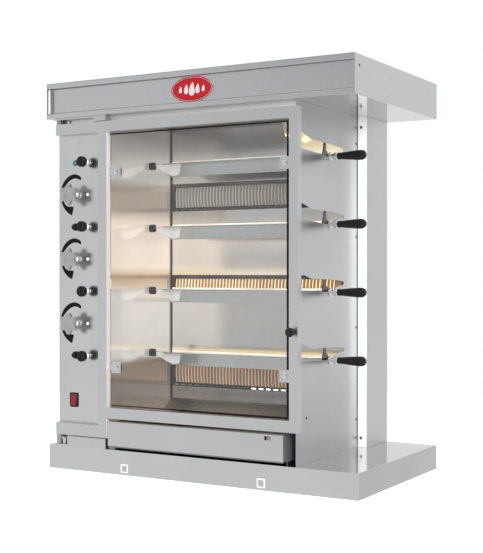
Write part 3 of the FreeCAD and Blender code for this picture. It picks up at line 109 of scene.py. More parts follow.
class Canvas:
    """A node tree under construction."""

    def __init__(self, tree: bpy.types.NodeTree) -> None:
        """Start on the tree that gets the nodes."""
        self.tree = tree

    def node(self, kind: str, settings: dict | None = None, inputs: dict | None = None) -> bpy.types.Node:
        """Add one node.

        Args:
            kind: The node's type name.
            settings: Properties to set on it.
            inputs: Its inputs, as for fill.

        Returns:
            The new node.
        """
        made = self.tree.nodes.new(kind)
        for name, value in (settings or {}).items():
            setattr(made, name, value)
        self.fill(made, inputs or {})
        return made

    def fill(self, node: bpy.types.Node, inputs: dict) -> None:
        """Set a node's inputs.

        Args:
            node: The node.
            inputs: Numbers, outputs, or nodes whose first output is meant, by input name or index.
        """
        for name, value in inputs.items():
            if isinstance(value, bpy.types.Node):
                value = value.outputs[0]
            if isinstance(value, bpy.types.NodeSocket):
                self.tree.links.new(value, node.inputs[name])
            else:
                node.inputs[name].default_value = value

    def cover(self, shader: bpy.types.Node) -> None:
        """Put another shader out at the material's surface."""
        end = next(node for node in self.tree.nodes if node.type == "OUTPUT_MATERIAL")
        self.fill(end, {"Surface": shader})

    def place(self) -> bpy.types.NodeSocket:
        """Return the output that holds the place on the object."""
        return self.node("ShaderNodeTexCoord").outputs["Object"]

    def parts(self, vector: object) -> bpy.types.NodeSocket:
        """Return the outputs that hold the X, Y and Z of a vector."""
        return self.node("ShaderNodeSeparateXYZ", None, {0: vector}).outputs

    def vector(self, parts: dict) -> bpy.types.NodeSocket:
        """Return the output of a vector made from some of its parts, by index."""
        return self.node("ShaderNodeCombineXYZ", None, parts).outputs[0]

    def noise(self, place: object, scale: object, **more: object) -> bpy.types.NodeSocket:
        """Return the output of a noise texture, with other inputs by name."""
        inputs = {"Vector": place, "Scale": scale, **more}
        return self.node("ShaderNodeTexNoise", None, inputs).outputs[0]

    def bump(self, height: object, strength: object) -> bpy.types.NodeSocket:
        """Return the normal of a surface raised by a twentieth of a millimetre at most."""
        inputs = {"Height": height, "Strength": strength, "Distance": 0.05 * MM}
        return self.node("ShaderNodeBump", None, inputs).outputs[0]

    def ramp(self, share: object, stops: Sequence[tuple[float, Color]],
             bent: bool = False) -> bpy.types.NodeSocket:
        """Read a colour off a ramp.

        Args:
            share: The place on the ramp.
            stops: The places of the colours, in turn, and the colours.
            bent: Whether the ramp is a smooth curve between its stops.

        Returns:
            The output that holds the colour.
        """
        made = self.node("ShaderNodeValToRGB", None, {0: share})
        made.color_ramp.interpolation = "B_SPLINE" if bent else "LINEAR"
        marks = made.color_ramp.elements
        for position, color in stops[1:-1]:
            marks.new(position).color = (*color, 1.0)
        for mark, (position, color) in zip((marks[0], marks[-1]), (stops[0], stops[-1])):
            mark.position, mark.color = position, (*color, 1.0)
        return made.outputs[0]

    def math(self, operation: str, first: object, second: object = 0.0) -> bpy.types.NodeSocket:
        """Return the output of a sum on two numbers or outputs."""
        return self.node("ShaderNodeMath", {"operation": operation}, {0: first, 1: second}).outputs[0]

    def span(self, value: object, low: float, high: float, first: float, last: float) -> bpy.types.NodeSocket:
        """Carry a value from one range to another, easing in and out.

        Args:
            value: The output to read.
            low: Where the change starts.
            high: Where it ends.
            first: The result up to low.
            last: The result from high on.

        Returns:
            The output that holds the result.
        """
        settings = {"interpolation_type": "SMOOTHSTEP"}
        inputs = {"Value": value, "From Min": low, "From Max": high, "To Min": first, "To Max": last}
        return self.node("ShaderNodeMapRange", settings, inputs).outputs["Result"]

    def blend(self, factor: object, first: object, second: object) -> bpy.types.NodeSocket:
        """Mix two colours by a factor.

        Args:
            factor: 0 for the first colour, 1 for the second.
            first: A colour or an output.
            second: A colour or an output.

        Returns:
            The output that holds the mixed colour.
        """
        colors = [value if isinstance(value, bpy.types.NodeSocket) else (*value, 1.0)
                  for value in (first, second)]
        mixed = self.node("ShaderNodeMix", {"data_type": "RGBA"}, {0: factor, 6: colors[0], 7: colors[1]})
        return mixed.outputs[2]

    def pattern(self, group: bpy.types.NodeTree, **inputs: object) -> bpy.types.Node:
        """Place a shared pattern group, with its inputs' names written with underscores."""
        named = {name.replace("_", " "): value for name, value in inputs.items()}
        return self.node("ShaderNodeGroup", {"node_tree": group}, named)


class Patterns:
    """The shader node groups that the finishes share."""

    def __init__(self) -> None:
        """Build each group once."""
        self.grain = self._grain()
        self.smudge = self._smudge()
        self.heat = self._heat()
        self.mould = self._mould()
        self.wear = self._wear()

    def _group(self, name: str, inputs: dict[str, str],
               outputs: dict[str, str]) -> tuple[Canvas, dict, bpy.types.Node]:
        """Start a group with named sockets.

        Args:
            name: The group's name.
            inputs: Socket types by input name.
            outputs: Socket types by output name.

        Returns:
            The canvas, the group's inputs as outputs to read, and the node whose inputs are its outputs.
        """
        tree = bpy.data.node_groups.new(name, "ShaderNodeTree")
        for way, sockets in (("INPUT", inputs), ("OUTPUT", outputs)):
            for label, kind in sockets.items():
                tree.interface.new_socket(name=label, in_out=way, socket_type=kind)
        canvas = Canvas(tree)
        return canvas, canvas.node("NodeGroupInput").outputs, canvas.node("NodeGroupOutput")

    def _grain(self) -> bpy.types.NodeTree:
        """Polishing lines: fine scratches over broader streaks.

        Returns:
            The group.
        """
        canvas, given, end = self._group(
            "polishing_lines", {"Stretch": VECTOR, "Depth": FLOAT}, {"Shade": FLOAT, "Normal": VECTOR})
        lines = canvas.node("ShaderNodeMapping", None, {"Vector": canvas.place(), "Scale": given["Stretch"]})
        fine = canvas.noise(lines, 1.0, Detail=3.0, Roughness=0.6)
        broad = canvas.noise(lines, 0.11, Detail=2.0, Roughness=0.5)
        both = canvas.math("MULTIPLY_ADD", broad, 0.5)
        canvas.fill(both.node, {2: canvas.math("MULTIPLY", fine, 0.5)})
        canvas.fill(end, {"Shade": both, "Normal": canvas.bump(fine, given["Depth"])})
        return canvas.tree

    def _smudge(self) -> bpy.types.NodeTree:
        """Wiping marks: wide soft patches, as on cleaned sheet steel.

        Returns:
            The group.
        """
        canvas, given, end = self._group("wiping_marks", {"Scale": FLOAT}, {"Mask": FLOAT})
        cloud = canvas.noise(canvas.place(), given["Scale"], Detail=3.0, Distortion=0.6)
        canvas.fill(end, {"Mask": canvas.span(cloud, 0.38, 0.68, 0.0, 1.0)})
        return canvas.tree

    def _heat(self) -> bpy.types.NodeTree:
        """Heat tint: straw, brown and blue clouds, as on steel near a flame.

        Returns:
            The group.
        """
        canvas, given, end = self._group("heat_tint", {"Scale": FLOAT}, {"Tint": COLOR, "Mask": FLOAT})
        cloud = canvas.noise(canvas.place(), given["Scale"], Detail=4.0, Roughness=0.55)
        tint = canvas.ramp(cloud, ((0.3, (0.62, 0.54, 0.42)), (0.52, (0.50, 0.37, 0.27)),
                                   (0.74, (0.40, 0.42, 0.47))))
        canvas.fill(end, {"Tint": tint, "Mask": canvas.span(cloud, 0.4, 0.7, 0.0, 1.0)})
        return canvas.tree

    def _mould(self) -> bpy.types.NodeTree:
        """Moulded surface: a fine even texture with slow changes of gloss.

        Returns:
            The group.
        """
        canvas, given, end = self._group(
            "moulded_surface", {"Scale": FLOAT, "Depth": FLOAT}, {"Shade": FLOAT, "Normal": VECTOR})
        fine = canvas.noise(canvas.place(), given["Scale"], Detail=2.0)
        canvas.fill(end, {"Shade": fine, "Normal": canvas.bump(fine, given["Depth"])})
        return canvas.tree

    def _wear(self) -> bpy.types.NodeTree:
        """Small scuffs: scattered specks that lighten a handled surface.

        Returns:
            The group.
        """
        canvas, given, end = self._group("small_scuffs", {"Scale": FLOAT}, {"Mask": FLOAT})
        place = canvas.place()
        cells = canvas.node("ShaderNodeTexVoronoi", {"feature": "F1"}, {
            "Vector": place, "Scale": given["Scale"]})
        cloud = canvas.noise(place, 45.0, Detail=4.0)
        specks = canvas.span(cells.outputs["Distance"], 0.02, 0.12, 1.0, 0.0)
        canvas.fill(end, {"Mask": canvas.math("MULTIPLY", specks, canvas.span(cloud, 0.5, 0.65, 0.0, 1.0))})
        return canvas.tree


PATTERNS = Patterns()


def blank(name: str) -> tuple[bpy.types.Material, Canvas, bpy.types.Node]:
    """Start a material with one Principled shader.

    Args:
        name: The material's name.

    Returns:
        The material, its canvas and the shader.
    """
    material = bpy.data.materials.new(name)
    material.use_nodes = True
    material.node_tree.nodes.clear()
    canvas = Canvas(material.node_tree)
    shader = canvas.node("ShaderNodeBsdfPrincipled")
    canvas.node("ShaderNodeOutputMaterial", None, {"Surface": shader.outputs[0]})
    return material, canvas, shader


class Finish:
    """A surface finish that makes its material once."""

    name: str

    def paint(self, canvas: Canvas, shader: bpy.types.Node) -> None:
        """Wire the finish into a fresh material's shader."""
        raise NotImplementedError

    def material(self) -> bpy.types.Material:
        """Find the finish's material, or make it on the first call.

        Returns:
            The material.
        """
        known = bpy.data.materials.get(self.name)
        if known is not None:
            return known
        made, canvas, shader = blank(self.name)
        self.paint(canvas, shader)
        return made


@dataclass(frozen=True)
class Metal(Finish):
    """Bare metal with polishing lines and wiping marks."""

    name: str
    color: Color
    roughness: float
    grain: Grain
    spread: float = 0.05
    depth: float = 0.12
    patches: float = 3.0
    dulling: float = 0.05
    tint: float = 0.0
    metallic: float = 1.0

    def paint(self, canvas: Canvas, shader: bpy.types.Node) -> None:
        """Lines move the roughness, and marks dull the colour.

        Args:
            canvas: The material's canvas.
            shader: Its shader.
        """
        lines = canvas.pattern(PATTERNS.grain, Stretch=self.grain.value, Depth=self.depth)
        marks = canvas.pattern(PATTERNS.smudge, Scale=self.patches)
        dull = tuple(part * (1.0 - self.dulling) for part in self.color)
        color = canvas.blend(marks.outputs["Mask"], self.color, dull)
        if self.tint:
            heat = canvas.pattern(PATTERNS.heat, Scale=self.patches * 2.0)
            amount = canvas.math("MULTIPLY", heat.outputs["Mask"], self.tint)
            color = canvas.blend(amount, color, heat.outputs["Tint"])
        rough = canvas.span(lines.outputs["Shade"], 0.3, 0.7, self.roughness - self.spread,
                            self.roughness + self.spread)
        wiped = canvas.math("MULTIPLY", marks.outputs["Mask"], self.spread)
        canvas.fill(shader, {"Base Color": color, "Roughness": canvas.math("ADD", rough, wiped),
                             "Normal": lines.outputs["Normal"], "Metallic": self.metallic})


@dataclass(frozen=True)
class GradedSheet(Metal):
    """Sheet steel with painted shade by height: heights, and the share of colour left there."""

    shades: tuple[tuple[float, float], ...] = ()

    def paint(self, canvas: Canvas, shader: bpy.types.Node) -> None:
        """Multiply the colour by a curve over the height, as painted shade.

        Args:
            canvas: The material's canvas.
            shader: Its shader.
        """
        super().paint(canvas, shader)
        first, last = self.shades[0][0], self.shades[-1][0]
        height = canvas.math("SUBTRACT", canvas.parts(canvas.place())[2], first)
        share = canvas.math("DIVIDE", height, last - first)
        curve = canvas.ramp(share, [((place - first) / (last - first), (shade,) * 3)
                                    for place, shade in self.shades])
        plain = shader.inputs["Base Color"].links[0].from_socket
        mixed = canvas.node("ShaderNodeMix", {"data_type": "RGBA", "blend_type": "MULTIPLY"}, {
            0: 1.0, 6: plain, 7: curve})
        canvas.fill(shader, {"Base Color": mixed.outputs[2]})


Level = tuple[float, float, Tone]


@dataclass(frozen=True)
class LitSheet(Metal):
    """Sheet steel inside the chamber with the burners' light painted on as emission, by height."""

    levels: tuple[Level, ...] = ()
    far_levels: tuple[Level, ...] = ()
    pool: tuple[float, float, float, float] | None = None
    turn_from: float = -0.16
    turn_to: float = -0.06
    foot: float = 0.2
    reach: float = 1.0

    def light(self, canvas: Canvas, share: bpy.types.NodeSocket,
              levels: Sequence[Level]) -> bpy.types.NodeSocket:
        """Return the light's colour by height, from heights with its strength and tone there."""
        return canvas.ramp(share, [((height - self.foot) / self.reach, tone.lit(strength))
                                   for height, strength, tone in levels])

    def paint(self, canvas: Canvas, shader: bpy.types.Node) -> None:
        """Add painted light whose colour follows the height and the side of the chamber, with a pool of lamp
        light where one is given, broken up by clouds.

        Args:
            canvas: The material's canvas.
            shader: Its shader.
        """
        super().paint(canvas, shader)
        axes = canvas.parts(canvas.place())
        share = canvas.math("DIVIDE", canvas.math("SUBTRACT", axes[2], self.foot), self.reach)
        color = self.light(canvas, share, self.levels)
        if self.far_levels:
            side = canvas.span(axes[0], self.turn_from, self.turn_to, 0.0, 1.0)
            color = canvas.blend(side, color, self.light(canvas, share, self.far_levels))
        if self.pool:
            x, z, radius, strength = self.pool
            away = canvas.node("ShaderNodeVectorMath", {"operation": "DISTANCE"}, {
                0: canvas.vector({0: axes[0], 2: axes[2]}), 1: canvas.vector({0: x, 2: z})})
            near = canvas.span(away.outputs["Value"], 0.4 * radius, radius, 1.0, 0.0)
            color = canvas.blend(near, color, Tone.GOLD.lit(strength))
        marks = canvas.pattern(PATTERNS.smudge, Scale=4.0)
        amount = canvas.span(marks.outputs["Mask"], 0.0, 1.0, 1.0, 0.9)
        clouded = canvas.node("ShaderNodeVectorMath", {"operation": "SCALE"}, {0: color, "Scale": amount})
        canvas.fill(shader, {"Emission Color": clouded, "Emission Strength": 1.0})


@dataclass(frozen=True)
class Moulding(Finish):
    """Moulded plastic, rubber or ink with a fine texture and small scuffs."""

    name: str
    color: Color
    roughness: float
    scuff: Color
    scale: float = 1400.0
    depth: float = 0.25
    coat: float = 0.0
    gloss: float = 0.5

    def paint(self, canvas: Canvas, shader: bpy.types.Node) -> None:
        """Scuffs lighten the colour, and the texture moves the roughness.

        Args:
            canvas: The material's canvas.
            shader: Its shader.
        """
        texture = canvas.pattern(PATTERNS.mould, Scale=self.scale, Depth=self.depth)
        scuffs = canvas.pattern(PATTERNS.wear, Scale=260.0)
        canvas.fill(shader, {
            "Base Color": canvas.blend(scuffs.outputs["Mask"], self.color, self.scuff),
            "Roughness": canvas.span(texture.outputs["Shade"], 0.3, 0.7, self.roughness * 0.85,
                                     self.roughness * 1.2),
            "Normal": texture.outputs["Normal"],
            "Coat Weight": self.coat,
            "Coat Roughness": 0.08,
            "Specular IOR Level": self.gloss,
        })


@dataclass(frozen=True)
class Glow(Finish):
    """Hot or lit surface: a tinted base that shines unevenly; on a part that is no lamp or flame, the shine
    is painted light.
    """

    name: str
    color: Color
    hot: Color
    cool: Color
    strength: float
    scale: float = 14.0
    roughness: float = 0.5

    def paint(self, canvas: Canvas, shader: bpy.types.Node) -> None:
        """Clouds move the shine between the hot and the cool colour.

        Args:
            canvas: The material's canvas.
            shader: Its shader.
        """
        heat = canvas.pattern(PATTERNS.heat, Scale=self.scale)
        texture = canvas.pattern(PATTERNS.mould, Scale=900.0, Depth=0.3)
        mask, tint = heat.outputs["Mask"], heat.outputs["Tint"]
        canvas.fill(shader, {
            "Base Color": canvas.blend(canvas.math("MULTIPLY", mask, 0.5), self.color, tint),
            "Emission Color": canvas.blend(mask, self.hot, self.cool),
            "Emission Strength": self.strength,
            "Roughness": canvas.span(texture.outputs["Shade"], 0.3, 0.7, self.roughness - 0.1,
                                     self.roughness + 0.1),
            "Normal": texture.outputs["Normal"],
        })


@dataclass(frozen=True)
class Pane(Finish):
    """Clear glass that lets lamp light through, with faint wiping marks."""

    name: str
    color: Color
    roughness: float

    def paint(self, canvas: Canvas, shader: bpy.types.Node) -> None:
        """Marks cloud the gloss a little, and shadow rays pass.

        Args:
            canvas: The material's canvas.
            shader: Its shader.
        """
        marks = canvas.pattern(PATTERNS.smudge, Scale=5.0)
        pale = tuple(part * 0.985 for part in self.color)
        canvas.fill(shader, {
            "Base Color": canvas.blend(marks.outputs["Mask"], self.color, pale),
            "Roughness": canvas.span(marks.outputs["Mask"], 0.0, 1.0, self.roughness, self.roughness + 0.02),
            "Transmission Weight": 1.0,
            "IOR": 1.45,
        })
        shadow = canvas.node("ShaderNodeLightPath").outputs["Is Shadow Ray"]
        clear = canvas.node("ShaderNodeBsdfTransparent", None, {"Color": (*self.color, 1.0)})
        canvas.cover(canvas.node("ShaderNodeMixShader", None, {0: shadow, 1: shader, 2: clear}))


STEEL: Color = (0.70, 0.708, 0.715)
DARK_SCUFF: Color = (0.06, 0.06, 0.062)

SHEET_X = Metal("sheet_lines_across", STEEL, 0.36, Grain.ALONG_X, spread=0.03, dulling=0.03)
SHEET_Z = Metal("sheet_lines_upright", STEEL, 0.34, Grain.ALONG_Z, spread=0.03, dulling=0.03)
PANEL_SHEET = Metal("control_plate_sheet", STEEL, 0.21, Grain.ALONG_Z, spread=0.03, dulling=0.03)
# Painted light and shade: the hood's ends get a lighter colour than its front and top, though all are one
# sheet.
HOOD_END = Metal("hood_end_sheet", (0.71, 0.72, 0.73), 0.27, Grain.ALONG_Y, spread=0.02, dulling=0.02,
                 depth=0.04)
HOOD_SHEET = Metal("hood_sheet", (0.67, 0.68, 0.69), 0.27, Grain.ALONG_X, spread=0.02, dulling=0.03,
                   depth=0.05)
MIRROR_SHEET = Metal("polished_flat_sheet", STEEL, 0.09, Grain.ALONG_X, spread=0.02, depth=0.04, dulling=0.03)
# Painted shade: the plinth's ends are darker than its front, though both are one sheet.
PLINTH_END = Metal("plinth_end_sheet", (0.60, 0.61, 0.615), 0.12, Grain.ALONG_Y, spread=0.02, depth=0.05)
# Painted sheen: a near-white, non-metallic colour stands in for the polished strip's bright reflection.
STRIP_SHEET = Metal("strip_painted_sheen", (0.98, 0.985, 0.99), 0.24, Grain.ALONG_Z, spread=0.03, dulling=0.01,
                    metallic=0.0)
# Painted shade: the right wall is darker towards its foot, and darker still at its top under the hood.
WALL_SHEET = GradedSheet(
    "right_wall_painted_shade", STEEL, 0.30, Grain.ALONG_Z, spread=0.03, dulling=0.03,
    shades=((0.08, 0.80), (0.26, 0.85), (0.38, 0.95), (0.62, 1.0), (0.95, 0.95), (1.16, 0.70)))
BRIGHT_WALL = LitSheet(
    "left_wall_painted_light", (0.46, 0.45, 0.43), 0.14, Grain.ALONG_Z, spread=0.03, depth=0.05, tint=0.12,
    levels=((0.20, 0.20, Tone.WARM), (0.355, 0.10, Tone.WARM), (0.385, 0.45, Tone.DAY),
            (0.59, 0.55, Tone.DAY), (0.63, 0.35, Tone.WARM), (0.655, 0.35, Tone.FLAME),
            (0.69, 0.75, Tone.WARM), (0.84, 0.65, Tone.WARM), (0.88, 0.30, Tone.WARM),
            (0.95, 0.30, Tone.WARM), (0.99, 0.45, Tone.DAY), (1.14, 0.15, Tone.DAY)))
BACK_WALL = LitSheet(
    "back_wall_sheet", (0.56, 0.55, 0.535), 0.14, Grain.ALONG_Z, spread=0.04, depth=0.05, tint=0.2,
    levels=((0.20, 0.05, Tone.DAY), (0.355, 0.05, Tone.DAY), (0.365, 0.65, Tone.GOLD),
            (0.395, 0.60, Tone.GOLD), (0.405, 0.20, Tone.DAY), (0.56, 0.25, Tone.DAY),
            (0.655, 0.10, Tone.WARM), (0.662, 0.50, Tone.GOLD), (0.70, 0.25, Tone.DAY),
            (0.78, 0.30, Tone.DAY), (0.88, 0.10, Tone.DAY), (1.03, 0.10, Tone.DAY),
            (1.055, 0.20, Tone.DAY), (1.16, 0.05, Tone.DAY)),
    far_levels=((0.20, 0.05, Tone.DAY), (0.355, 0.05, Tone.DAY), (0.365, 0.65, Tone.GOLD),
                (0.395, 0.60, Tone.GOLD), (0.405, 0.0, Tone.DAY), (0.655, 0.0, Tone.DAY),
                (0.662, 0.45, Tone.GOLD), (0.69, 0.10, Tone.FLAME), (0.72, 0.05, Tone.FLAME),
                (0.785, 0.20, Tone.WARM), (0.87, 0.0, Tone.DAY), (1.05, 0.0, Tone.DAY),
                (1.16, 0.10, Tone.DAY)),
    pool=(0.275, 1.10, 0.15, 0.6))
WARM_SHEET = Metal("deflector_sheet", (0.30, 0.285, 0.265), 0.25, Grain.ALONG_X, tint=0.4)
# Painted shade: the chamber's ceiling is near-black, while the front lip of the same sheet keeps a steel
# colour.
CEILING_SHEET = Metal("ceiling_sheet", (0.10, 0.10, 0.10), 0.35, Grain.ALONG_X, tint=0.1)
BURNER_SHEET = Metal("burner_frame_sheet", (0.11, 0.105, 0.10), 0.3, Grain.ALONG_X, tint=0.25)
DARK_STEEL = Metal("dark_steel", (0.07, 0.07, 0.068), 0.4, Grain.ALONG_Z)
LINTEL_SHEET = Metal("lintel_sheet", (0.62, 0.625, 0.63), 0.4, Grain.ALONG_X, spread=0.03, metallic=0.4)
JOINT_STEEL = Metal("joint_steel", (0.50, 0.505, 0.51), 0.4, Grain.ALONG_X, spread=0.04)
DISC_STEEL = Metal("stop_disc_steel", (0.22, 0.215, 0.205), 0.3, Grain.EVEN)
TRAY_SHEET = Metal("tray_sheet", (0.52, 0.51, 0.5), 0.3, Grain.ALONG_X, tint=0.25)
SPIT_STEEL = Metal("spit_steel", (0.56, 0.565, 0.57), 0.2, Grain.ALONG_X, spread=0.06)
CHROME = Metal("turned_chrome", (0.84, 0.84, 0.84), 0.09, Grain.ROUND_X, spread=0.03)
# Painted highlight: near-white and barely metallic, so collars, nuts, studs and stems shine white rather than
# reflect as chrome.
BRIGHT_COLLAR = Metal("collar_painted_highlight", (0.97, 0.97, 0.97), 0.3, Grain.EVEN, dulling=0.01, metallic=0.1)
# Painted shade: dark and mostly non-metallic, for the shade on the drawer's sides, the ends of its front and
# the lip under it.
SIDE_SHEET = Metal("drawer_side_painted_shade", (0.15, 0.152, 0.155), 0.4, Grain.ALONG_Y, metallic=0.3)
# Painted reflection: the door's inner stile faces are a warm, pale, nearly non-metallic colour, for the lit
# chamber they reflect.
EDGE_SHEET = Metal("stile_edge_painted_reflection", (0.70, 0.675, 0.64), 0.4, Grain.ALONG_Z, metallic=0.1)
# Painted shade: a grey plate behind the drawer's pull slot, for the shade inside it.
SLOT_SHADE = Metal("pull_slot_painted_shade", (0.22, 0.205, 0.19), 0.5, Grain.ALONG_X, metallic=0.2)
SCREW_STEEL = Metal("screw_steel", (0.80, 0.80, 0.80), 0.2, Grain.EVEN)
DARK_SCREW = Metal("dark_screw_steel", (0.20, 0.20, 0.205), 0.3, Grain.EVEN)
SATIN_CAST = Metal("satin_cast_knob", (0.56, 0.565, 0.57), 0.36, Grain.ROUND_Y, spread=0.07, patches=30.0)
ZINC = Metal("zinc_plate", (0.52, 0.54, 0.56), 0.34, Grain.EVEN, patches=18.0)
BUSH_BRASS = Metal("bush_metal", (0.55, 0.52, 0.46), 0.3, Grain.ROUND_Z)
BRASS = Metal("turned_brass", (0.72, 0.55, 0.26), 0.24, Grain.ROUND_Y, patches=25.0)
COPPER = Metal("drawn_copper", (0.72, 0.40, 0.26), 0.28, Grain.EVEN, patches=14.0, tint=0.2)
BADGE_RIM = Metal("badge_rim_metal", (0.82, 0.80, 0.80), 0.14, Grain.ALONG_X)
KNOB_BLACK = Moulding("black_knob_plastic", (0.009, 0.009, 0.010), 0.34, DARK_SCUFF, gloss=0.22)
GLOSS_BLACK = Moulding("black_gloss_plastic", (0.007, 0.007, 0.008), 0.2, DARK_SCUFF, coat=0.12, gloss=0.25)
SEAL_BLACK = Moulding("black_seal_rubber", (0.008, 0.008, 0.008), 0.55, DARK_SCUFF, gloss=0.15)
INK = Moulding("printed_ink", (0.006, 0.006, 0.006), 0.5, (0.02, 0.02, 0.02), depth=0.1, gloss=0.12)
RED_ENAMEL = Moulding("badge_red_enamel", (0.30, 0.004, 0.010), 0.3, (0.32, 0.015, 0.022), depth=0.05,
                      coat=0.08, gloss=0.25)
PALE_ENAMEL = Moulding("pale_enamel", (0.50, 0.42, 0.42), 0.3, (0.44, 0.36, 0.36), depth=0.05, coat=0.1)
# Painted highlight: near-white rims on the plinth's plugs and a near-white hood end, for the light their
# edges catch and reflect.
WHITE_LIP = Moulding("lip_painted_highlight", (0.86, 0.87, 0.88), 0.4, (0.8, 0.8, 0.8), depth=0.1)
RED_CAP = Moulding("red_switch_plastic", (0.17, 0.006, 0.008), 0.25, (0.35, 0.06, 0.06), scale=500.0,
                   coat=0.25, gloss=0.4)
GREEN_RING = Moulding("green_ring_plastic", (0.012, 0.20, 0.10), 0.3, (0.1, 0.3, 0.2), coat=0.2, gloss=0.3)
LENS = Moulding("grey_lens", (0.12, 0.18, 0.16), 0.15, (0.3, 0.35, 0.33), depth=0.05, coat=0.4)
GLASS = Pane("door_glass_pane", (0.975, 0.985, 0.98), 0.0)
# Painted light: the unlit burner's fins glow faintly, their fronts more, for the chamber light that falls on
# them.
UNLIT_FINS = Glow("unlit_fins_painted_light", (0.20, 0.19, 0.175), (0.10, 0.095, 0.085), (0.07, 0.064, 0.058), 1.0)
UNLIT_EDGES = Glow("unlit_fin_fronts_painted_light", (0.32, 0.30, 0.28), (0.20, 0.185, 0.17), (0.14, 0.13, 0.115), 1.0)
LIT_FINS = Glow("lit_fins", (0.30, 0.20, 0.12), (0.40, 0.26, 0.13), (0.24, 0.13, 0.06), 0.55)
LIT_EDGES = Glow("lit_fin_edges", (0.70, 0.56, 0.38), (1.0, 0.80, 0.52), (0.85, 0.54, 0.28), 0.84)
WARM_FINS = Glow("warm_fins", (0.22, 0.16, 0.12), (0.36, 0.22, 0.13), (0.20, 0.12, 0.07), 0.35)
WARM_EDGES = Glow("warm_fin_edges", (0.55, 0.42, 0.32), (0.70, 0.46, 0.31), (0.48, 0.31, 0.21), 0.50)
# Painted highlight: the blade's rolled top edge glows, for the line of light along it.
EDGE_STEEL = Glow("rolled_edge_painted_highlight", (0.80, 0.75, 0.66), (0.95, 0.88, 0.76), (0.62, 0.52, 0.40), 0.60,
                  scale=9.0, roughness=0.3)
# Painted light: the blade's neck plate glows pale, though it is plain steel.
NECK_STEEL = Glow("blade_neck_painted_light", (0.48, 0.48, 0.48), (0.58, 0.575, 0.565), (0.38, 0.375, 0.37), 0.48,
                  scale=16.0, roughness=0.3)
LAMP_GLASS = Glow("lit_lamp_glass", (0.9, 0.8, 0.6), (0.9, 0.76, 0.50), (0.7, 0.52, 0.30), 0.20)
SLOT_LIGHT = Glow("light_behind_slots", (0.9, 0.9, 0.88), (1.0, 0.98, 0.93), (1.0, 0.93, 0.82), 1.6)


def placed(name: str, data: bpy.types.ID) -> bpy.types.Object:
    """Put a mesh, a lamp or a camera in the scene.

    Args:
        name: The object's name.
        data: What it holds.

    Returns:
        The new object.
    """
    item = bpy.data.objects.new(name, data)
    bpy.context.scene.collection.objects.link(item)
    return item


def baked(carrier: bpy.types.Object) -> bpy.types.Mesh:
    """Make the plain mesh that an object's modifiers give, and remove the object.

    Args:
        carrier: The object, which is used up.

    Returns:
        The mesh.
    """
    graph = bpy.context.evaluated_depsgraph_get()
    mesh = bpy.data.meshes.new_from_object(carrier.evaluated_get(graph), depsgraph=graph)
    bpy.data.objects.remove(carrier)
    return mesh


def joined(meshes: Sequence[bpy.types.Mesh]) -> bpy.types.Mesh:
    """Gather meshes into one, each face keeping its finish.

    Args:
        meshes: The meshes to gather, which are used up.

    Returns:
        The gathered mesh.
    """
    work = bmesh.new()
    materials = []
    for mesh in meshes:
        first = len(work.faces)
        work.from_mesh(mesh)
        work.faces.ensure_lookup_table()
        for face in work.faces[first:]:
            used = mesh.materials[face.material_index]
            if used not in materials:
                materials.append(used)
            face.material_index = materials.index(used)
        bpy.data.meshes.remove(mesh)
    result = bpy.data.meshes.new("joined")
    work.to_mesh(result)
    work.free()
    for material in materials:
        result.materials.append(material)
    return result


def settle(name: str, body: str, slot: str, *meshes: bpy.types.Mesh, nodes: Sequence[str] = ()) -> None:
    """Turn finished meshes into one piece of the oven.

    Args:
        name: The piece's name.
        body: The moving or fixed body that carries it.
        slot: Not used.
        *meshes: The meshes, in place.
        nodes: The modelled parts that it stands for.
    """
    mesh = meshes[0] if len(meshes) == 1 else joined(meshes)
    mesh.name = name
    piece = placed(name, mesh)
    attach(piece, body)
    if nodes:
        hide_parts(*nodes)
    LOG.info("%s: %d faces on %s", name, len(mesh.polygons), body)


def stand_in(name: str, node: str, *meshes: bpy.types.Mesh) -> None:
    """Settle meshes as the piece that stands for a modelled part, on its body."""
    settle(name, BODY_OF[node], SLOT_OF[node], *meshes, nodes=[node])


def dress(node: str, finish: Finish) -> None:
    """Give a modelled part, kept as it is, its finish.

    Args:
        node: The part's name.
        finish: The finish.
    """
    mesh = frame["nodes"][node].data
    mesh.materials.clear()
    mesh.materials.append(finish.material())
    LOG.info("%s: finished as %s", node, finish.name)


def smooth(mesh: bpy.types.Mesh, degrees: float = 35.0) -> None:
    """Shade a mesh smoothly, with edges sharper than an angle kept."""
    mesh.shade_smooth()
    mesh.set_sharp_from_angle(angle=math.radians(degrees))


def welded(node: str) -> bmesh.types.BMesh:
    """Copy a modelled part, with shared corners and no edges inside its flat faces.

    Args:
        node: The part's name.

    Returns:
        The copy.
    """
    work = bmesh.new()
    work.from_mesh(frame["nodes"][node].data)
    bmesh.ops.remove_doubles(work, verts=work.verts, dist=0.002 * MM)
    bmesh.ops.dissolve_limit(work, angle_limit=math.radians(0.4), verts=work.verts, edges=work.edges)
    return work


def solids(node: str) -> list[tuple[Vector, Vector]]:
    """Find the separate solids of a modelled part.

    Args:
        node: The part's name.

    Returns:
        The lowest and highest corner of each solid.
    """
    work = welded(node)
    left = set(work.verts)
    boxes = []
    while left:
        reached = {left.pop()}
        edge = list(reached)
        while edge:
            near = {other for link in edge.pop().link_edges for other in link.verts} - reached
            reached |= near
            edge.extend(near)
        left -= reached
        spots = list(zip(*(vertex.co for vertex in reached)))
        boxes.append((Vector([min(line) for line in spots]), Vector([max(line) for line in spots])))
    work.free()
    return sorted(boxes, key=lambda corners: tuple(round(part, 5) for part in corners[0]))


def by_height(node: str) -> list[tuple[Vector, Vector]]:
    """Return the corners of a part's solids, the lowest solid first."""
    return sorted(solids(node), key=lambda corners: corners[0].z)


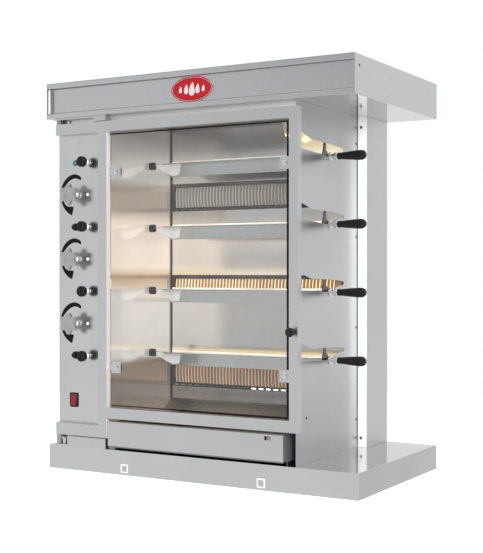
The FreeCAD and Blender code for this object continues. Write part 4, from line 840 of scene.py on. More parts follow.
def refined(node: str, finish: Finish, fold: float) -> bpy.types.Mesh:
    """Copy a modelled part and round its edges, those beside a sheet's thickness only a little.

    Args:
        node: The part's name.
        finish: The finish of the copy.
        fold: The rounding of edges between wide faces, in millimetres.

    Returns:
        The rounded mesh.
    """
    work = welded(node)
    width = fold * MM
    weights = work.edges.layers.float.new("bevel_weight_edge")
    for edge in work.edges:
        if len(edge.link_faces) != 2 or edge.calc_face_angle(0.0) < SHARP:
            continue
        narrow = min(face.calc_area() / max(side.calc_length() for side in face.edges)
                     for face in edge.link_faces)
        edge[weights] = 1.0 if narrow > THICKEST_SHEET else RIM / width
    mesh = bpy.data.meshes.new(f"{node}_rounded")
    work.to_mesh(mesh)
    work.free()
    carrier = placed(f"{node}_carrier", mesh)
    bevel = carrier.modifiers.new("rounding", "BEVEL")
    bevel.width, bevel.segments = width, 3
    bevel.limit_method, bevel.use_clamp_overlap = "WEIGHT", True
    level = carrier.modifiers.new("flat_faces", "WEIGHTED_NORMAL")
    level.weight, level.keep_sharp = 100, True
    mesh.shade_smooth()
    result = baked(carrier)
    result.materials.clear()
    result.materials.append(finish.material())
    return result


def rounded(profile: Profile, radius: float, steps: int = 4) -> list[tuple[float, float]]:
    """Ease the corners of an open line.

    Args:
        profile: The line's corners.
        radius: How far from a corner its curve starts.
        steps: Points along each curve.

    Returns:
        The eased line.
    """
    corners = [Vector(point) for point in profile]
    line = [corners[0]]
    for before, corner, after in zip(corners, corners[1:], corners[2:]):
        reach = min(radius, 0.45 * (before - corner).length, 0.45 * (after - corner).length)
        start = corner + (before - corner).normalized() * reach
        end = corner + (after - corner).normalized() * reach
        for step in range(steps + 1):
            share = step / steps
            line.append(start.lerp(corner, share).lerp(corner.lerp(end, share), share))
    line.append(corners[-1])
    return [(point.x, point.y) for point in line]


def square_ring(low: Vector, high: Vector, inset: float, depth: float, ease: float,
                steps: int = 4) -> list[Vector]:
    """Run round a rectangle that faces the front.

    Args:
        low: The lowest corner of the box that it lies in.
        high: The highest corner.
        inset: How far inside the box it runs.
        depth: Its Y.
        ease: How far from a corner its curve starts.
        steps: Points along each curve.

    Returns:
        The ring's points.
    """
    left, right, foot, top = low.x + inset, high.x - inset, low.z + inset, high.z - inset
    middle = ((left + right) / 2, foot)
    line = rounded([middle, (left, foot), (left, top), (right, top), (right, foot), middle], ease, steps)
    return [Vector((x, depth, z)) for x, z in line[:-1]]


def outward(work: bmesh.types.BMesh, finish: Finish) -> bpy.types.Mesh:
    """Turn a closed shape's faces outwards and make it a smooth mesh.

    Args:
        work: The shape, which is used up.
        finish: Its finish.

    Returns:
        The mesh.
    """
    bmesh.ops.recalc_face_normals(work, faces=work.faces)
    mesh = bpy.data.meshes.new("shape")
    work.to_mesh(mesh)
    work.free()
    mesh.materials.append(finish.material())
    smooth(mesh)
    return mesh


def skin(rings: Sequence[Sequence[Vector]], finish: Finish) -> bpy.types.Mesh:
    """Close a stack of rings into one skin.

    Args:
        rings: Rings with the same number of points, or of one point where the skin closes.
        finish: The skin's finish.

    Returns:
        The closed mesh.
    """
    work = bmesh.new()
    stack = [[work.verts.new(point) for point in ring] for ring in rings]
    for lower, upper in zip(stack, stack[1:]):
        count = max(len(lower), len(upper))
        for index in range(count):
            following = (index + 1) % count
            corners = [lower[index % len(lower)], lower[following % len(lower)],
                       upper[following % len(upper)], upper[index % len(upper)]]
            work.faces.new(dict.fromkeys(corners))
    for end in (stack[0], stack[-1]):
        if len(end) > 2:
            work.faces.new(end)
    return outward(work, finish)


def hoop(rings: Sequence[Sequence[Vector]], finish: Finish) -> bpy.types.Mesh:
    """Join rings into a closed band whose last ring meets its first.

    Args:
        rings: Rings with the same number of points.
        finish: The band's finish.

    Returns:
        The band.
    """
    work = bmesh.new()
    stack = [[work.verts.new(point) for point in ring] for ring in rings]
    for lower, upper in zip(stack, stack[1:] + stack[:1]):
        for index in range(len(lower)):
            following = (index + 1) % len(lower)
            work.faces.new([lower[index], lower[following], upper[following], upper[index]])
    return outward(work, finish)


def turned(start: Vector, axis: Vector, profile: Profile, finish: Finish,
           units: tuple[float, float] = (1.0, 1.0), ease: float = 0.0, sides: int = 48,
           steps: int = 4) -> bpy.types.Mesh:
    """Turn a profile about an axis.

    Args:
        start: The axis's first point.
        axis: Its direction, one unit long.
        profile: Pairs of place along the axis and radius.
        finish: The finish.
        units: What 1 stands for in the profile's places, and in its radii.
        ease: How far from a corner of the profile its curve starts. 0 keeps the corners.
        sides: Points round the axis.
        steps: Points along each curve.

    Returns:
        The turned mesh.
    """
    line = [(place * units[0], radius * units[1]) for place, radius in profile]
    if ease:
        line = rounded(line, ease, steps)
    along = axis.normalized()
    across = along.orthogonal().normalized()
    beside = along.cross(across)
    angles = [math.tau * index / sides for index in range(sides)]
    rings = []
    for place, radius in line:
        middle = start + along * place
        rings.append([middle] if radius < 1e-6 else [
            middle + (across * math.cos(angle) + beside * math.sin(angle)) * radius for angle in angles])
    return skin(rings, finish)


def plate(outline: Profile, near: float, far: float, finish: Finish,
          sideways: bool = False) -> bpy.types.Mesh:
    """A flat plate that faces the front or the side.

    Args:
        outline: The closed outline's points, in X and Z, or in Y and Z for a sideways plate.
        near: The Y, or for a sideways plate the X, of its first face.
        far: The same for its second face.
        finish: The finish.
        sideways: Whether it faces the side.

    Returns:
        The plate.
    """
    rings = [[Vector((depth, run, z) if sideways else (run, depth, z)) for run, z in outline]
             for depth in (near, far)]
    return skin(rings, finish)


def box(low: Sequence[float], high: Sequence[float], finish: Finish,
        ease: float = 0.5 * MM) -> bpy.types.Mesh:
    """A strip with eased long edges.

    Args:
        low: Its lowest corner.
        high: Its highest corner.
        finish: The finish.
        ease: How much is taken off the four upright edges and the ends.

    Returns:
        The strip.
    """
    rings = []
    for level, inset in ((low[2], ease), (low[2] + ease, 0.0), (high[2] - ease, 0.0), (high[2], ease)):
        left, right = low[0] + inset, high[0] - inset
        front, back = low[1] + inset, high[1] - inset
        rings.append([Vector((x, y, level)) for x, y in (
            (left + ease, front), (right - ease, front), (right, front + ease), (right, back - ease),
            (right - ease, back), (left + ease, back), (left, back - ease), (left, front + ease))])
    return skin(rings, finish)


@dataclass(frozen=True)
class SheetPart:
    """A rounded copy that stands for one sheet-metal part. Some of its faces may have a second finish."""

    node: str
    name: str
    finish: Finish
    fold: float = 1.6
    second: Finish | None = None
    chosen: Callable[[bpy.types.MeshPolygon], bool] | None = None

    def build(self) -> None:
        """Round the part and finish it."""
        mesh = refined(self.node, self.finish, self.fold)
        if self.second is not None:
            mesh.materials.append(self.second.material())
            for face in mesh.polygons:
                if self.chosen(face):
                    face.material_index = 1
        stand_in(self.name, self.node, mesh)


class Assembly:
    """A group of the oven's pieces: rounded sheet parts, then details of its own."""

    parts: tuple[SheetPart, ...] = ()

    def details(self) -> None:
        """Make the pieces that aren't copies of sheet parts."""
        raise NotImplementedError

    def build(self) -> None:
        """Make every piece of the group."""
        for part in self.parts:
            part.build()
        self.details()


class Recipe:
    """A geometry node tree with named inputs, run over a set of points."""

    def __init__(self, name: str, inputs: dict[str, str]) -> None:
        """Start the tree.

        Args:
            name: The tree's name.
            inputs: Socket types by input name.
        """
        tree = bpy.data.node_groups.new(name, "GeometryNodeTree")
        tree.interface.new_socket(name="Points", in_out="INPUT", socket_type="NodeSocketGeometry")
        self.keys = {
            label: tree.interface.new_socket(name=label, in_out="INPUT", socket_type=kind).identifier
            for label, kind in inputs.items()
        }
        tree.interface.new_socket(name="Geometry", in_out="OUTPUT", socket_type="NodeSocketGeometry")
        self.canvas = Canvas(tree)
        self.given = self.canvas.node("NodeGroupInput").outputs
        self.end = self.canvas.node("NodeGroupOutput")

    def finish_with(self, copies: bpy.types.Node, fronts: bool = False) -> None:
        """Make the copies real, give them the finish and put them out.

        Args:
            copies: The node that makes the copies.
            fronts: Whether faces that look forwards get a finish of their own.
        """
        real = self.canvas.node("GeometryNodeRealizeInstances", None, {0: copies})
        coated = self.canvas.node("GeometryNodeSetMaterial", None, {
            "Geometry": real, "Material": self.given["Finish"]})
        if fronts:
            way = self.canvas.parts(self.canvas.node("GeometryNodeInputNormal"))[1]
            coated = self.canvas.node("GeometryNodeSetMaterial", None, {
                "Geometry": coated, "Selection": self.canvas.math("LESS_THAN", way, -0.6),
                "Material": self.given["Front Finish"]})
        self.canvas.fill(self.end, {0: coated})

    def run(self, name: str, points: Sequence[Vector], **values: object) -> bpy.types.Mesh:
        """Run the tree.

        Args:
            name: The name of the mesh of points.
            points: Where the copies stand.
            **values: The inputs' values, with underscores for spaces in their names.

        Returns:
            The plain mesh of all copies.
        """
        seeds = bpy.data.meshes.new(f"{name}_points")
        seeds.from_pydata([tuple(point) for point in points], [], [])
        carrier = placed(f"{name}_carrier", seeds)
        modifier = carrier.modifiers.new(name, "NODES")
        modifier.node_group = self.canvas.tree
        for label, value in values.items():
            modifier[self.keys[label.replace("_", " ")]] = value
        return baked(carrier)


class DomeScrews(Recipe):
    """Round-headed screws with a socket in the head."""

    def __init__(self) -> None:
        """Build the tree: a rim, two domed steps and a sunk socket."""
        super().__init__("dome_screws", {
            "Radius": FLOAT, "Height": FLOAT, "Turn": VECTOR, "Finish": MATERIAL})
        canvas, given = self.canvas, self.given
        rim = canvas.math("MULTIPLY", given["Height"], 0.4)
        head = canvas.node("GeometryNodeMeshCylinder", {"fill_type": "NGON"}, {
            "Vertices": 18, "Radius": given["Radius"], "Depth": rim})
        shape, top = head.outputs["Mesh"], head.outputs["Top"]
        for rise, scale in ((0.4, 0.8), (0.2, 0.6), (0.0, 0.75), (-0.45, 0.95)):
            reach = canvas.math("MULTIPLY", given["Height"], rise)
            pulled = canvas.node("GeometryNodeExtrudeMesh", {"mode": "FACES"}, {
                "Mesh": shape, "Selection": top, "Offset Scale": reach, "Individual": False})
            top = pulled.outputs["Top"]
            shape = canvas.node("GeometryNodeScaleElements", None, {
                "Geometry": pulled, "Selection": top, "Scale": scale}).outputs[0]
        turn = canvas.node("FunctionNodeEulerToRotation", None, {0: given["Turn"]})
        self.finish_with(canvas.node("GeometryNodeInstanceOnPoints", None, {
            "Points": given["Points"], "Instance": shape, "Rotation": turn}))


class FinRow(Recipe):
    """A row of upright fins, each bowed sideways and leaning a little its own way."""

    def __init__(self) -> None:
        """Build the tree: a bowed bar, set out in a row from each point."""
        super().__init__("fin_row", {
            "Count": "NodeSocketInt", "Pitch": FLOAT, "Size": VECTOR, "Bow": FLOAT, "Lean": FLOAT,
            "Finish": MATERIAL, "Front Finish": MATERIAL})
        canvas, given = self.canvas, self.given
        bar = canvas.node("GeometryNodeMeshCube", None, {
            "Size": given["Size"], "Vertices X": 2, "Vertices Y": 2, "Vertices Z": 9})
        height = canvas.parts(given["Size"])[2]
        place = canvas.parts(canvas.node("GeometryNodeInputPosition"))[2]
        share = canvas.math("MULTIPLY", canvas.math("DIVIDE", place, height), math.pi)
        bulge = canvas.math("MULTIPLY", canvas.math("COSINE", share), given["Bow"])
        bowed = canvas.node("GeometryNodeSetPosition", None, {
            "Geometry": bar, "Offset": canvas.vector({0: bulge})})
        row = canvas.node("GeometryNodeMeshLine", None, {
            "Count": given["Count"], "Offset": canvas.vector({0: given["Pitch"]})})
        least = canvas.math("MULTIPLY", given["Lean"], -1.0)
        random = canvas.node("FunctionNodeRandomValue", {"data_type": "FLOAT"}, {
            "Min": least, "Max": given["Lean"], "Seed": 7})
        number = next(socket for socket in random.outputs if socket.enabled)
        turn = canvas.node("FunctionNodeEulerToRotation", None, {0: canvas.vector({1: number})})
        fins = canvas.node("GeometryNodeInstanceOnPoints", None, {
            "Points": row, "Instance": bowed, "Rotation": turn})
        self.finish_with(canvas.node("GeometryNodeInstanceOnPoints", None, {
            "Points": given["Points"], "Instance": fins}), fronts=True)


@dataclass
class Casing(Assembly):
    """Plinth, hood, outer panels and the folded sheets round the chamber."""

    parts: tuple[SheetPart, ...] = (
        SheetPart("hood_fascia", "hood_front", HOOD_SHEET, 1.4),
        SheetPart("hood_underside", "hood_floor", MIRROR_SHEET, 0.6),
        SheetPart("left_side_panel", "left_cover", SHEET_Z, 0.6),
        SheetPart("control_panel", "control_plate", PANEL_SHEET, 0.8),
        SheetPart("rear_panel", "back_cover", SHEET_Z, 0.6),
        SheetPart("hinge_brackets", "hinge_blocks", SHEET_X, 0.8),
        SheetPart("hinge_bushes", "hinge_bush_tubes", BUSH_BRASS, 0.5),
        SheetPart("hinge_pins", "hinge_pin_rods", SCREW_STEEL, 0.5),
        SheetPart("hood_shell", "hood_cover", HOOD_SHEET, 2.0, HOOD_END,
                  lambda face: abs(face.normal.x) > 0.6),
        SheetPart("plinth_shell", "plinth_cover", MIRROR_SHEET, 2.2, PLINTH_END,
                  lambda face: abs(face.normal.x) > 0.7),
        SheetPart("rear_right_cover", "rear_right_strip", SHEET_Z, 1.8, STRIP_SHEET,
                  lambda face: face.normal.y < -0.5),
    )
    strip_front: float = 162.0 * MM
    gap: float = 0.4 * MM
    seam_width: float = 1.2 * MM
    seam_inset: float = 2.0 * MM
    joint_levels: tuple[float, float] = (1208.5 * MM, 1289.0 * MM)
    joint_inset: float = 4.0 * MM
    joint_height: float = 2.2 * MM
    joint_depth: float = 1.2 * MM
    fine_ease: float = 0.2 * MM
    lip_start: float = 6.5 * MM
    lip_width: float = 7.0 * MM
    lip_foot: float = 17.0 * MM
    lip_top: float = 19.0 * MM
    plug_lip: float = 3.2 * MM
    plug_dish: float = 1.5 * MM
    plug_corner: float = 2.5 * MM
    plug_ease: float = 0.6 * MM

    def plugs(self) -> None:
        """The square plugs in the plinth's front, each a pale lip round a sunk face; the pale lip is a
        painted highlight.
        """
        meshes = []
        for low, high in solids("plinth_plugs"):
            dish, lip = low.y + self.plug_dish, self.plug_lip
            edge = [square_ring(low, high, inset, depth, self.plug_corner) for inset, depth in (
                (0.0, high.y), (0.0, low.y + self.plug_ease), (self.plug_ease, low.y), (lip, low.y),
                (lip + self.gap, high.y))]
            face = [square_ring(low, high, inset, depth, self.plug_corner) for inset, depth in (
                (lip, high.y), (lip, dish), (lip + MM, dish))]
            meshes += [hoop(edge, WHITE_LIP), skin(face, SHEET_X)]
        stand_in("plinth_caps", "plinth_plugs", *meshes)

    def seam(self) -> None:
        """The dark joint between the chamber's right wall and the strip behind it."""
        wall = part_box("chamber_right_wall")[1]
        foot, top = (corner.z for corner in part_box("rear_right_cover"))
        low = (wall.x - self.gap - self.seam_width, wall.y + self.gap, foot + self.seam_inset)
        high = (wall.x - self.gap, self.strip_front - self.gap, top - self.seam_inset)
        settle("wall_joint", "oven", "burner_steel", box(low, high, DARK_STEEL, self.fine_ease))

    def slit(self) -> None:
        """The turned-in end of the hood's front, at its left, made bright by a painted reflection."""
        low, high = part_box("hood_fascia")
        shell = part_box("hood_shell")[0]
        left, front = shell.x + self.lip_start, shell.y + 0.8 * MM
        lip = box((left, front, low.z + self.lip_foot),
                  (left + self.lip_width, front + 1.5 * MM, high.z - self.lip_top), WHITE_LIP, 0.4 * MM)
        settle("hood_end_lip", "oven", "stainless", lip)

    def fascia_joints(self) -> None:
        """The fine dark joints along the top and the foot of the hood's recessed front."""
        low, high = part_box("hood_shell")
        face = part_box("fascia_badge")[1].y
        joints = [box((low.x + self.joint_inset, face - self.joint_depth, level),
                      (high.x - self.joint_inset, face + self.gap, level + self.joint_height),
                      JOINT_STEEL, self.fine_ease) for level in self.joint_levels]
        settle("fascia_joints", "oven", "burner_steel", *joints)

    def details(self) -> None:
        """Make the plugs, the joints and the lip."""
        self.plugs()
        self.seam()
        self.slit()
        self.fascia_joints()


@dataclass
class Badge:
    """An oval enamel plate with a metal rim, a fine line inside it and five plain drops."""

    rim: float = 2.2 * MM
    rim_ease: float = 0.6 * MM
    line: float = 5.5 * MM
    line_width: float = 1.1 * MM
    crown: float = 1.0 * MM
    sides: int = 96
    drops: tuple[tuple[float, float], ...] = (
        (0.0, 0.5), (-0.27, 0.36), (0.27, 0.36), (-0.54, 0.25), (0.54, 0.25))
    drop_sides: int = 28

    def oval(self, inset: float, depth: float) -> list[Vector]:
        """A ring of points inside the plate's outline.

        Args:
            inset: The distance in from the outline.
            depth: The ring's Y.

        Returns:
            The ring's points.
        """
        low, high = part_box("fascia_badge")
        middle = (low + high) / 2
        wide = (high.x - low.x) / 2 - inset
        tall = (high.z - low.z) / 2 - inset
        angles = [math.tau * index / self.sides for index in range(self.sides)]
        return [Vector((middle.x + wide * math.cos(angle), depth, middle.z + tall * math.sin(angle)))
                for angle in angles]

    def drop(self, shift: float, size: float, depth: float) -> bpy.types.Mesh:
        """A drop whose tip leans.

        Args:
            shift: Its place along the plate, as a share of the half width.
            size: Its height as a share of the half height.
            depth: The Y of its front face.

        Returns:
            The drop.
        """
        low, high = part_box("fascia_badge")
        middle = (low + high) / 2
        half_wide = (high.x - low.x) / 2
        tall = (high.z - low.z) / 2 * size
        outline = []
        for index in range(self.drop_sides):
            angle = math.tau * index / self.drop_sides
            rise = -math.cos(angle)
            swell = math.sin(angle) * (0.62 - 0.30 * rise)
            curl = 0.16 * max(rise, 0.0) ** 2
            outline.append((middle.x + shift * half_wide + tall * (swell * 0.75 + curl),
                            middle.z + tall * rise))
        return plate(outline, depth, depth + 0.4 * MM, PALE_ENAMEL)

    def build(self) -> None:
        """Make the rim, the domed enamel, the line and the drops."""
        low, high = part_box("fascia_badge")
        seat, face = low.y + self.crown, low.y + 0.25 * MM
        rim = [self.oval(*ring) for ring in (
            (0.0, high.y), (0.0, low.y + self.rim_ease), (self.rim_ease, low.y), (self.rim - 0.5 * MM, low.y),
            (self.rim, seat))]
        enamel = [self.oval(self.rim, seat)]
        for share in (0.15, 0.35, 0.6, 0.8, 0.93):
            depth = low.y + self.crown * (1.0 - share) ** 2 * 0.7 + 0.25 * MM
            enamel.append(self.oval(self.rim + share * ((high.z - low.z) / 2 - self.rim), depth))
        inner = self.line + self.line_width
        stripe = [self.oval(inset, face + lift) for inset, lift in (
            (self.line, 0.5 * MM), (self.line, -0.05 * MM), (inner, -0.05 * MM), (inner, 0.5 * MM))]
        drops = [self.drop(shift, size, face - 0.15 * MM) for shift, size in self.drops]
        stand_in("oval_badge", "fascia_badge", skin(rim, BADGE_RIM), skin(enamel, RED_ENAMEL),
                 skin(stripe, PALE_ENAMEL), *drops)


@dataclass
class GasKnob:
    """A satin star knob with six lobes on a round hub."""

    number: int
    lobes: int = 6
    valley: float = 0.70
    points: int = 120
    hub: float = 8.5 * MM
    collar: float = 9.0 * MM
    bore: float = 4.1 * MM
    bore_depth: float = 20.0 * MM
    dish: float = 1.2 * MM
    stations: tuple[tuple[float, float, float], ...] = (
        (0.9, 0.36, 1.0), (0.3, 0.42, 1.0), (0.1, 0.62, 0.0), (0.0, 0.86, 0.0), (0.35, 0.93, 0.0),
        (1.1, 0.975, 0.0), (2.2, 1.0, 0.0), (9.6, 1.0, 0.0), (11.2, 0.975, 0.0), (12.0, 0.93, 0.0),
    )

    def reach(self, angle: float, tip: float) -> float:
        """Radius of the star at an angle from its top lobe."""
        wave = 0.5 + 0.5 * math.cos(self.lobes * angle)
        return tip * (self.valley + (1.0 - self.valley) * wave ** 0.75)

    def build(self) -> None:
        """Stack the star's sections from its dished front to the hub."""
        node = f"gas_knob_{self.number}"
        low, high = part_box(node)
        middle = (low + high) / 2
        tip = (high.z - low.z) / 2
        back = high.y - low.y
        angles = [math.tau * index / self.points for index in range(self.points)]

        def ring(depth: float, radius: Callable[[float], float]) -> list[Vector]:
            """A ring of points at a depth behind the knob's front."""
            return [Vector((middle.x + radius(angle) * math.sin(angle), low.y + depth,
                            middle.z + radius(angle) * math.cos(angle))) for angle in angles]

        rings = [[Vector((middle.x, low.y + self.dish, middle.z))]]
        for depth, share, roundness in self.stations:
            rings.append(ring(depth * MM, lambda angle, s=share, r=roundness: s * (
                r * tip * self.valley + (1.0 - r) * self.reach(angle, tip))))
        for depth, radius in ((12.0 * MM, self.hub + 3.5 * MM), (15.0 * MM, self.hub + 0.6 * MM),
                              (17.0 * MM, self.hub), (back - MM, self.hub), (back, self.hub - MM),
                              (back, self.bore), (self.bore_depth, self.bore)):
            rings.append(ring(depth, lambda angle, r=radius: r))
        rings.append([Vector((middle.x, low.y + self.bore_depth, middle.z))])
        thin, thick = self.hub - 1.5 * MM, self.hub + 0.6 * MM
        # The near-white sleeve is a painted highlight where the hub meets the panel.
        sleeve = turned(Vector((middle.x, high.y - 0.4 * MM, middle.z)), FORWARD, (
            (0.0, thin), (0.0, thick), (self.collar, thick), (self.collar + MM, thin)), BRIGHT_COLLAR)
        stand_in(f"star_knob_{self.number}", node, skin(rings, SATIN_CAST), sleeve)


@dataclass
class SwitchKnob:
    """A black motor-switch knob that narrows towards the panel, with a pointer ridge on its face."""

    number: int
    ridge: float = 1.2 * MM
    neck: float = 7.5 * MM
    stand_off: float = 2.0 * MM
    shape: Profile = (
        (0.30, 0.0), (0.30, 0.44), (0.44, 0.60), (0.56, 0.90), (0.64, 0.97), (0.93, 0.97), (0.985, 0.86),
        (0.965, 0.76), (0.965, 0.0))
    stem: Profile = ((0.0, 0.0), (0.0, 1.0), (0.12, 1.0), (0.14, 0.7), (0.34, 0.7), (0.34, 0.0))
    pointer: Profile = ((-1.0, -0.7), (1.0, -0.7), (1.0, 0.74), (0.0, 0.78), (-1.0, 0.74), (-1.0, -0.7))

    def build(self) -> None:
        """Turn the knob and lay the ridge across its face."""
        node = f"switch_knob_{self.number}"
        low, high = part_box(node)
        middle = (low + high) / 2
        radius = (high.z - low.z) / 2
        panel = FRONT_FACE - self.stand_off
        length = panel - low.y
        start = Vector((middle.x, panel, middle.z))
        knob = turned(start, FORWARD, self.shape, KNOB_BLACK, (length, radius), 1.6 * MM, 56)
        # The near-white stem is a painted highlight between the knob and the panel.
        stem = turned(start, FORWARD, self.stem, BRIGHT_COLLAR, (length, self.neck), 0.8 * MM)
        outline = rounded([(across * self.ridge, up * radius) for across, up in self.pointer], 0.8 * MM)
        ridge = plate([(middle.x + x, middle.z + z) for x, z in outline[1:-1]], low.y, panel - 0.95 * length,
                      KNOB_BLACK)
        stand_in(f"motor_knob_{self.number}", node, knob, stem, ridge)


@dataclass
class ControlPanel(Assembly):
    """Everything on the control panel: knobs, printed scales, buttons, lamp and rocker."""

    parts: tuple[SheetPart, ...] = (
        SheetPart("rocker_frame", "rocker_surround", GLOSS_BLACK, 0.9),
        SheetPart("rocker_cap", "rocker_key", RED_CAP, 0.9),
    )
    ink: float = 0.15 * MM
    small_scale: tuple[tuple[float, float, float], ...] = (
        (70.0, 52.5, 60.5), (75.0, 53.0, 64.0), (83.0, 54.8, 67.6), (97.0, 57.0, 71.6), (112.0, 57.2, 72.6),
        (130.0, 56.4, 72.2), (147.0, 58.0, 71.0), (160.0, 61.0, 70.2), (171.0, 65.4, 69.0),
    )
    large_scale: tuple[tuple[float, float, float], ...] = (
        (185.0, 66.2, 68.0), (191.0, 62.0, 67.6), (202.0, 58.2, 67.4), (215.0, 56.6, 68.2),
        (228.0, 51.5, 69.0), (240.0, 43.5, 69.8), (249.0, 42.0, 70.6), (256.0, 43.0, 71.2),
    )
    seat: float = 0.5 * MM
    stud_shift: float = 47.0 * MM
    stud_radius: float = 5.2 * MM
    stud: Profile = ((0.0, 0.0), (0.0, 1.0), (1.2, 1.0), (3.0, 0.55), (3.4, 0.0))
    nut_radius: float = 9.0 * MM
    nut: Profile = ((0.0, 0.0), (0.0, 1.0), (0.9, 1.0), (1.3, 0.93), (1.3, 0.0))
    button_root: float = 2.0 * MM
    collar: Profile = ((0.0, 1.05), (0.0, 1.42), (4.0, 1.38), (6.2, 1.22), (6.2, 1.05), (0.0, 1.05))
    rim: float = 2.6 * MM
    rim_corner: float = 6.0 * MM

    def crescent(self, stations: Sequence[tuple[float, float, float]], z: float) -> bpy.types.Mesh:
        """A printed crescent round a gas knob, as thin as ink.

        Args:
            stations: Angle in degrees, inner radius and outer radius in millimetres, in turn.
            z: The knob's Z.

        Returns:
            The crescent.
        """
        inner = []
        outer = []
        for first, last in zip(stations, stations[1:]):
            for step in range(4):
                share = step / 4
                angle, near, far = (a + (b - a) * share for a, b in zip(first, last))
                way = Vector((math.cos(math.radians(angle)), math.sin(math.radians(angle))))
                inner.append(way * near * MM)
                outer.append(way * far * MM)
        outline = [(GAS_COLUMN + point.x, z + point.y) for point in outer + inner[::-1]]
        return plate(outline, FRONT_FACE - self.ink, FRONT_FACE + self.ink, INK)

    def gas_stations(self) -> None:
        """Knobs, scales, hub nuts and studs at the three gas valves; the nuts and studs shine as painted
        highlights.
        """
        for number in (1, 2, 3):
            GasKnob(number).build()
            low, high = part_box(f"gas_knob_{number}")
            height = (low.z + high.z) / 2
            settle(f"gas_scale_{number}", "oven", "black_plastic",
                   self.crescent(self.small_scale, height), self.crescent(self.large_scale, height))
            root = FRONT_FACE + self.seat
            nut = turned(Vector((GAS_COLUMN, root, height)), FORWARD, self.nut, BRIGHT_COLLAR,
                         (MM, self.nut_radius), 0.3 * MM, 6)
            # The stud's near-white dome is a painted glint beside each knob.
            stud = turned(Vector((GAS_COLUMN + self.stud_shift, root, height)), FORWARD, self.stud,
                          BRIGHT_COLLAR, (MM, self.stud_radius), 1.5 * MM)
            settle(f"valve_nut_{number}", "oven", "bright_steel", nut, stud)
            dress(f"gas_spindle_{number}", CHROME)

    def buttons(self) -> None:
        """The two igniter buttons in their collars."""
        for number in (1, 2):
            node = f"igniter_button_{number}"
            low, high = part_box(node)
            middle = (low + high) / 2
            radius = (high.z - low.z) / 2
            start = Vector((middle.x, FRONT_FACE + self.button_root, middle.z))
            length = start.y - low.y
            stand_in(f"push_button_{number}", node, turned(start, FORWARD, (
                (0.0, 0.0), (0.0, 0.96), (length - 1.6 * MM, 0.96), (length, 0.78), (length - 0.9 * MM, 0.5),
                (length - 1.3 * MM, 0.0)), GLOSS_BLACK, (1.0, radius), 1.4 * MM))
            seat = Vector((middle.x, FRONT_FACE, middle.z))
            settle(f"button_collar_{number}", "oven", "black_plastic",
                   turned(seat, FORWARD, self.collar, KNOB_BLACK, (MM, radius), 1.2 * MM))

    def lamp(self) -> None:
        """The pilot lamp: a green ring round a grey lens."""
        low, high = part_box("pilot_lamp")
        middle = (low + high) / 2
        radius = (high.z - low.z) / 2
        start = Vector((middle.x, high.y, middle.z))
        front = start.y - FRONT_FACE
        reach = high.y - low.y - front
        ring = turned(start, FORWARD, (
            (0.0, 0.0), (0.0, 0.78), (front, 0.78), (front, 1.0), (front + 1.6 * MM, 0.98),
            (front + 2.4 * MM, 0.84), (front + 1.8 * MM, 0.62), (front, 0.6), (front, 0.0)),
            GREEN_RING, (1.0, radius), 0.5 * MM)
        lens = turned(Vector((middle.x, FRONT_FACE, middle.z)), FORWARD, (
            (0.0, 0.0), (0.0, 0.60), (1.8 * MM, 0.58), (0.85 * reach, 0.4), (reach, 0.0)),
            LENS, (1.0, radius), 2.0 * MM)
        stand_in("pilot_light", "pilot_lamp", ring, lens)

    def bezel(self) -> None:
        """The rounded black rim round the rocker."""
        low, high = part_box("rocker_frame")
        rings = [square_ring(low, high, inset, FRONT_FACE - depth, self.rim_corner, 5) for inset, depth in (
            (-self.rim, 0.0), (-self.rim, 2.4 * MM), (-0.4 * self.rim, 4.2 * MM), (1.2 * MM, 3.4 * MM),
            (1.6 * MM, 0.0))]
        settle("rocker_rim", "oven", "black_plastic", hoop(rings, GLOSS_BLACK))

    def details(self) -> None:
        """Make every control."""
        self.gas_stations()
        for number in (1, 2, 3, 4):
            SwitchKnob(number).build()
        self.buttons()
        self.lamp()
        self.bezel()
        dress("panel_switches", KNOB_BLACK)


@dataclass
class Door(Assembly):
    """The glazed door: frame, pane, clips and knob."""

    parts: tuple[SheetPart, ...] = (
        # The inner faces of the left stile carry a painted reflection.
        SheetPart("door_frame", "door_rails", SHEET_Z, 1.6, EDGE_SHEET,
                  lambda face: face.normal.x > 0.6 and face.center.x < 0.0),
        SheetPart("glass_clips", "pane_clips", SHEET_X, 0.5),
    )
    seal: float = 4.0 * MM
    foot_seal: float = 2.8 * MM
    line: float = 5.2 * MM
    inset: float = 5.0 * MM
    pull: Profile = (
        (0.0, 0.0), (0.0, 0.62), (0.06, 0.60), (0.28, 0.52), (0.46, 0.86), (0.66, 1.0), (0.88, 0.86),
        (1.0, 0.42), (1.0, 0.0))
    pull_ease: float = 3.2 * MM

    def seals(self) -> None:
        """Black seals along the pane's top, right and bottom edges."""
        low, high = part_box("door_glass")
        front, back = low.y - MM, high.y + MM
        right = high.x - self.inset
        left = right - self.line
        settle("pane_seals", "door", "black_plastic",
               box((left, front, low.z), (right, back, high.z), SEAL_BLACK),
               box((low.x, front, high.z - self.seal), (left, back, high.z), SEAL_BLACK),
               box((low.x, front, low.z), (left, back, low.z + self.foot_seal), SEAL_BLACK))

    def knob(self) -> None:
        """A round black pull on a short neck."""
        low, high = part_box("door_knob")
        middle = (low + high) / 2
        root = Vector((middle.x, high.y, middle.z))
        units = (high.y - low.y, (high.z - low.z) / 2)
        stand_in("door_pull", "door_knob",
                 turned(root, FORWARD, self.pull, GLOSS_BLACK, units, self.pull_ease, steps=6))

    def details(self) -> None:
        """Finish the pane, and make its seals and the knob."""
        dress("door_glass", GLASS)
        self.seals()
        self.knob()


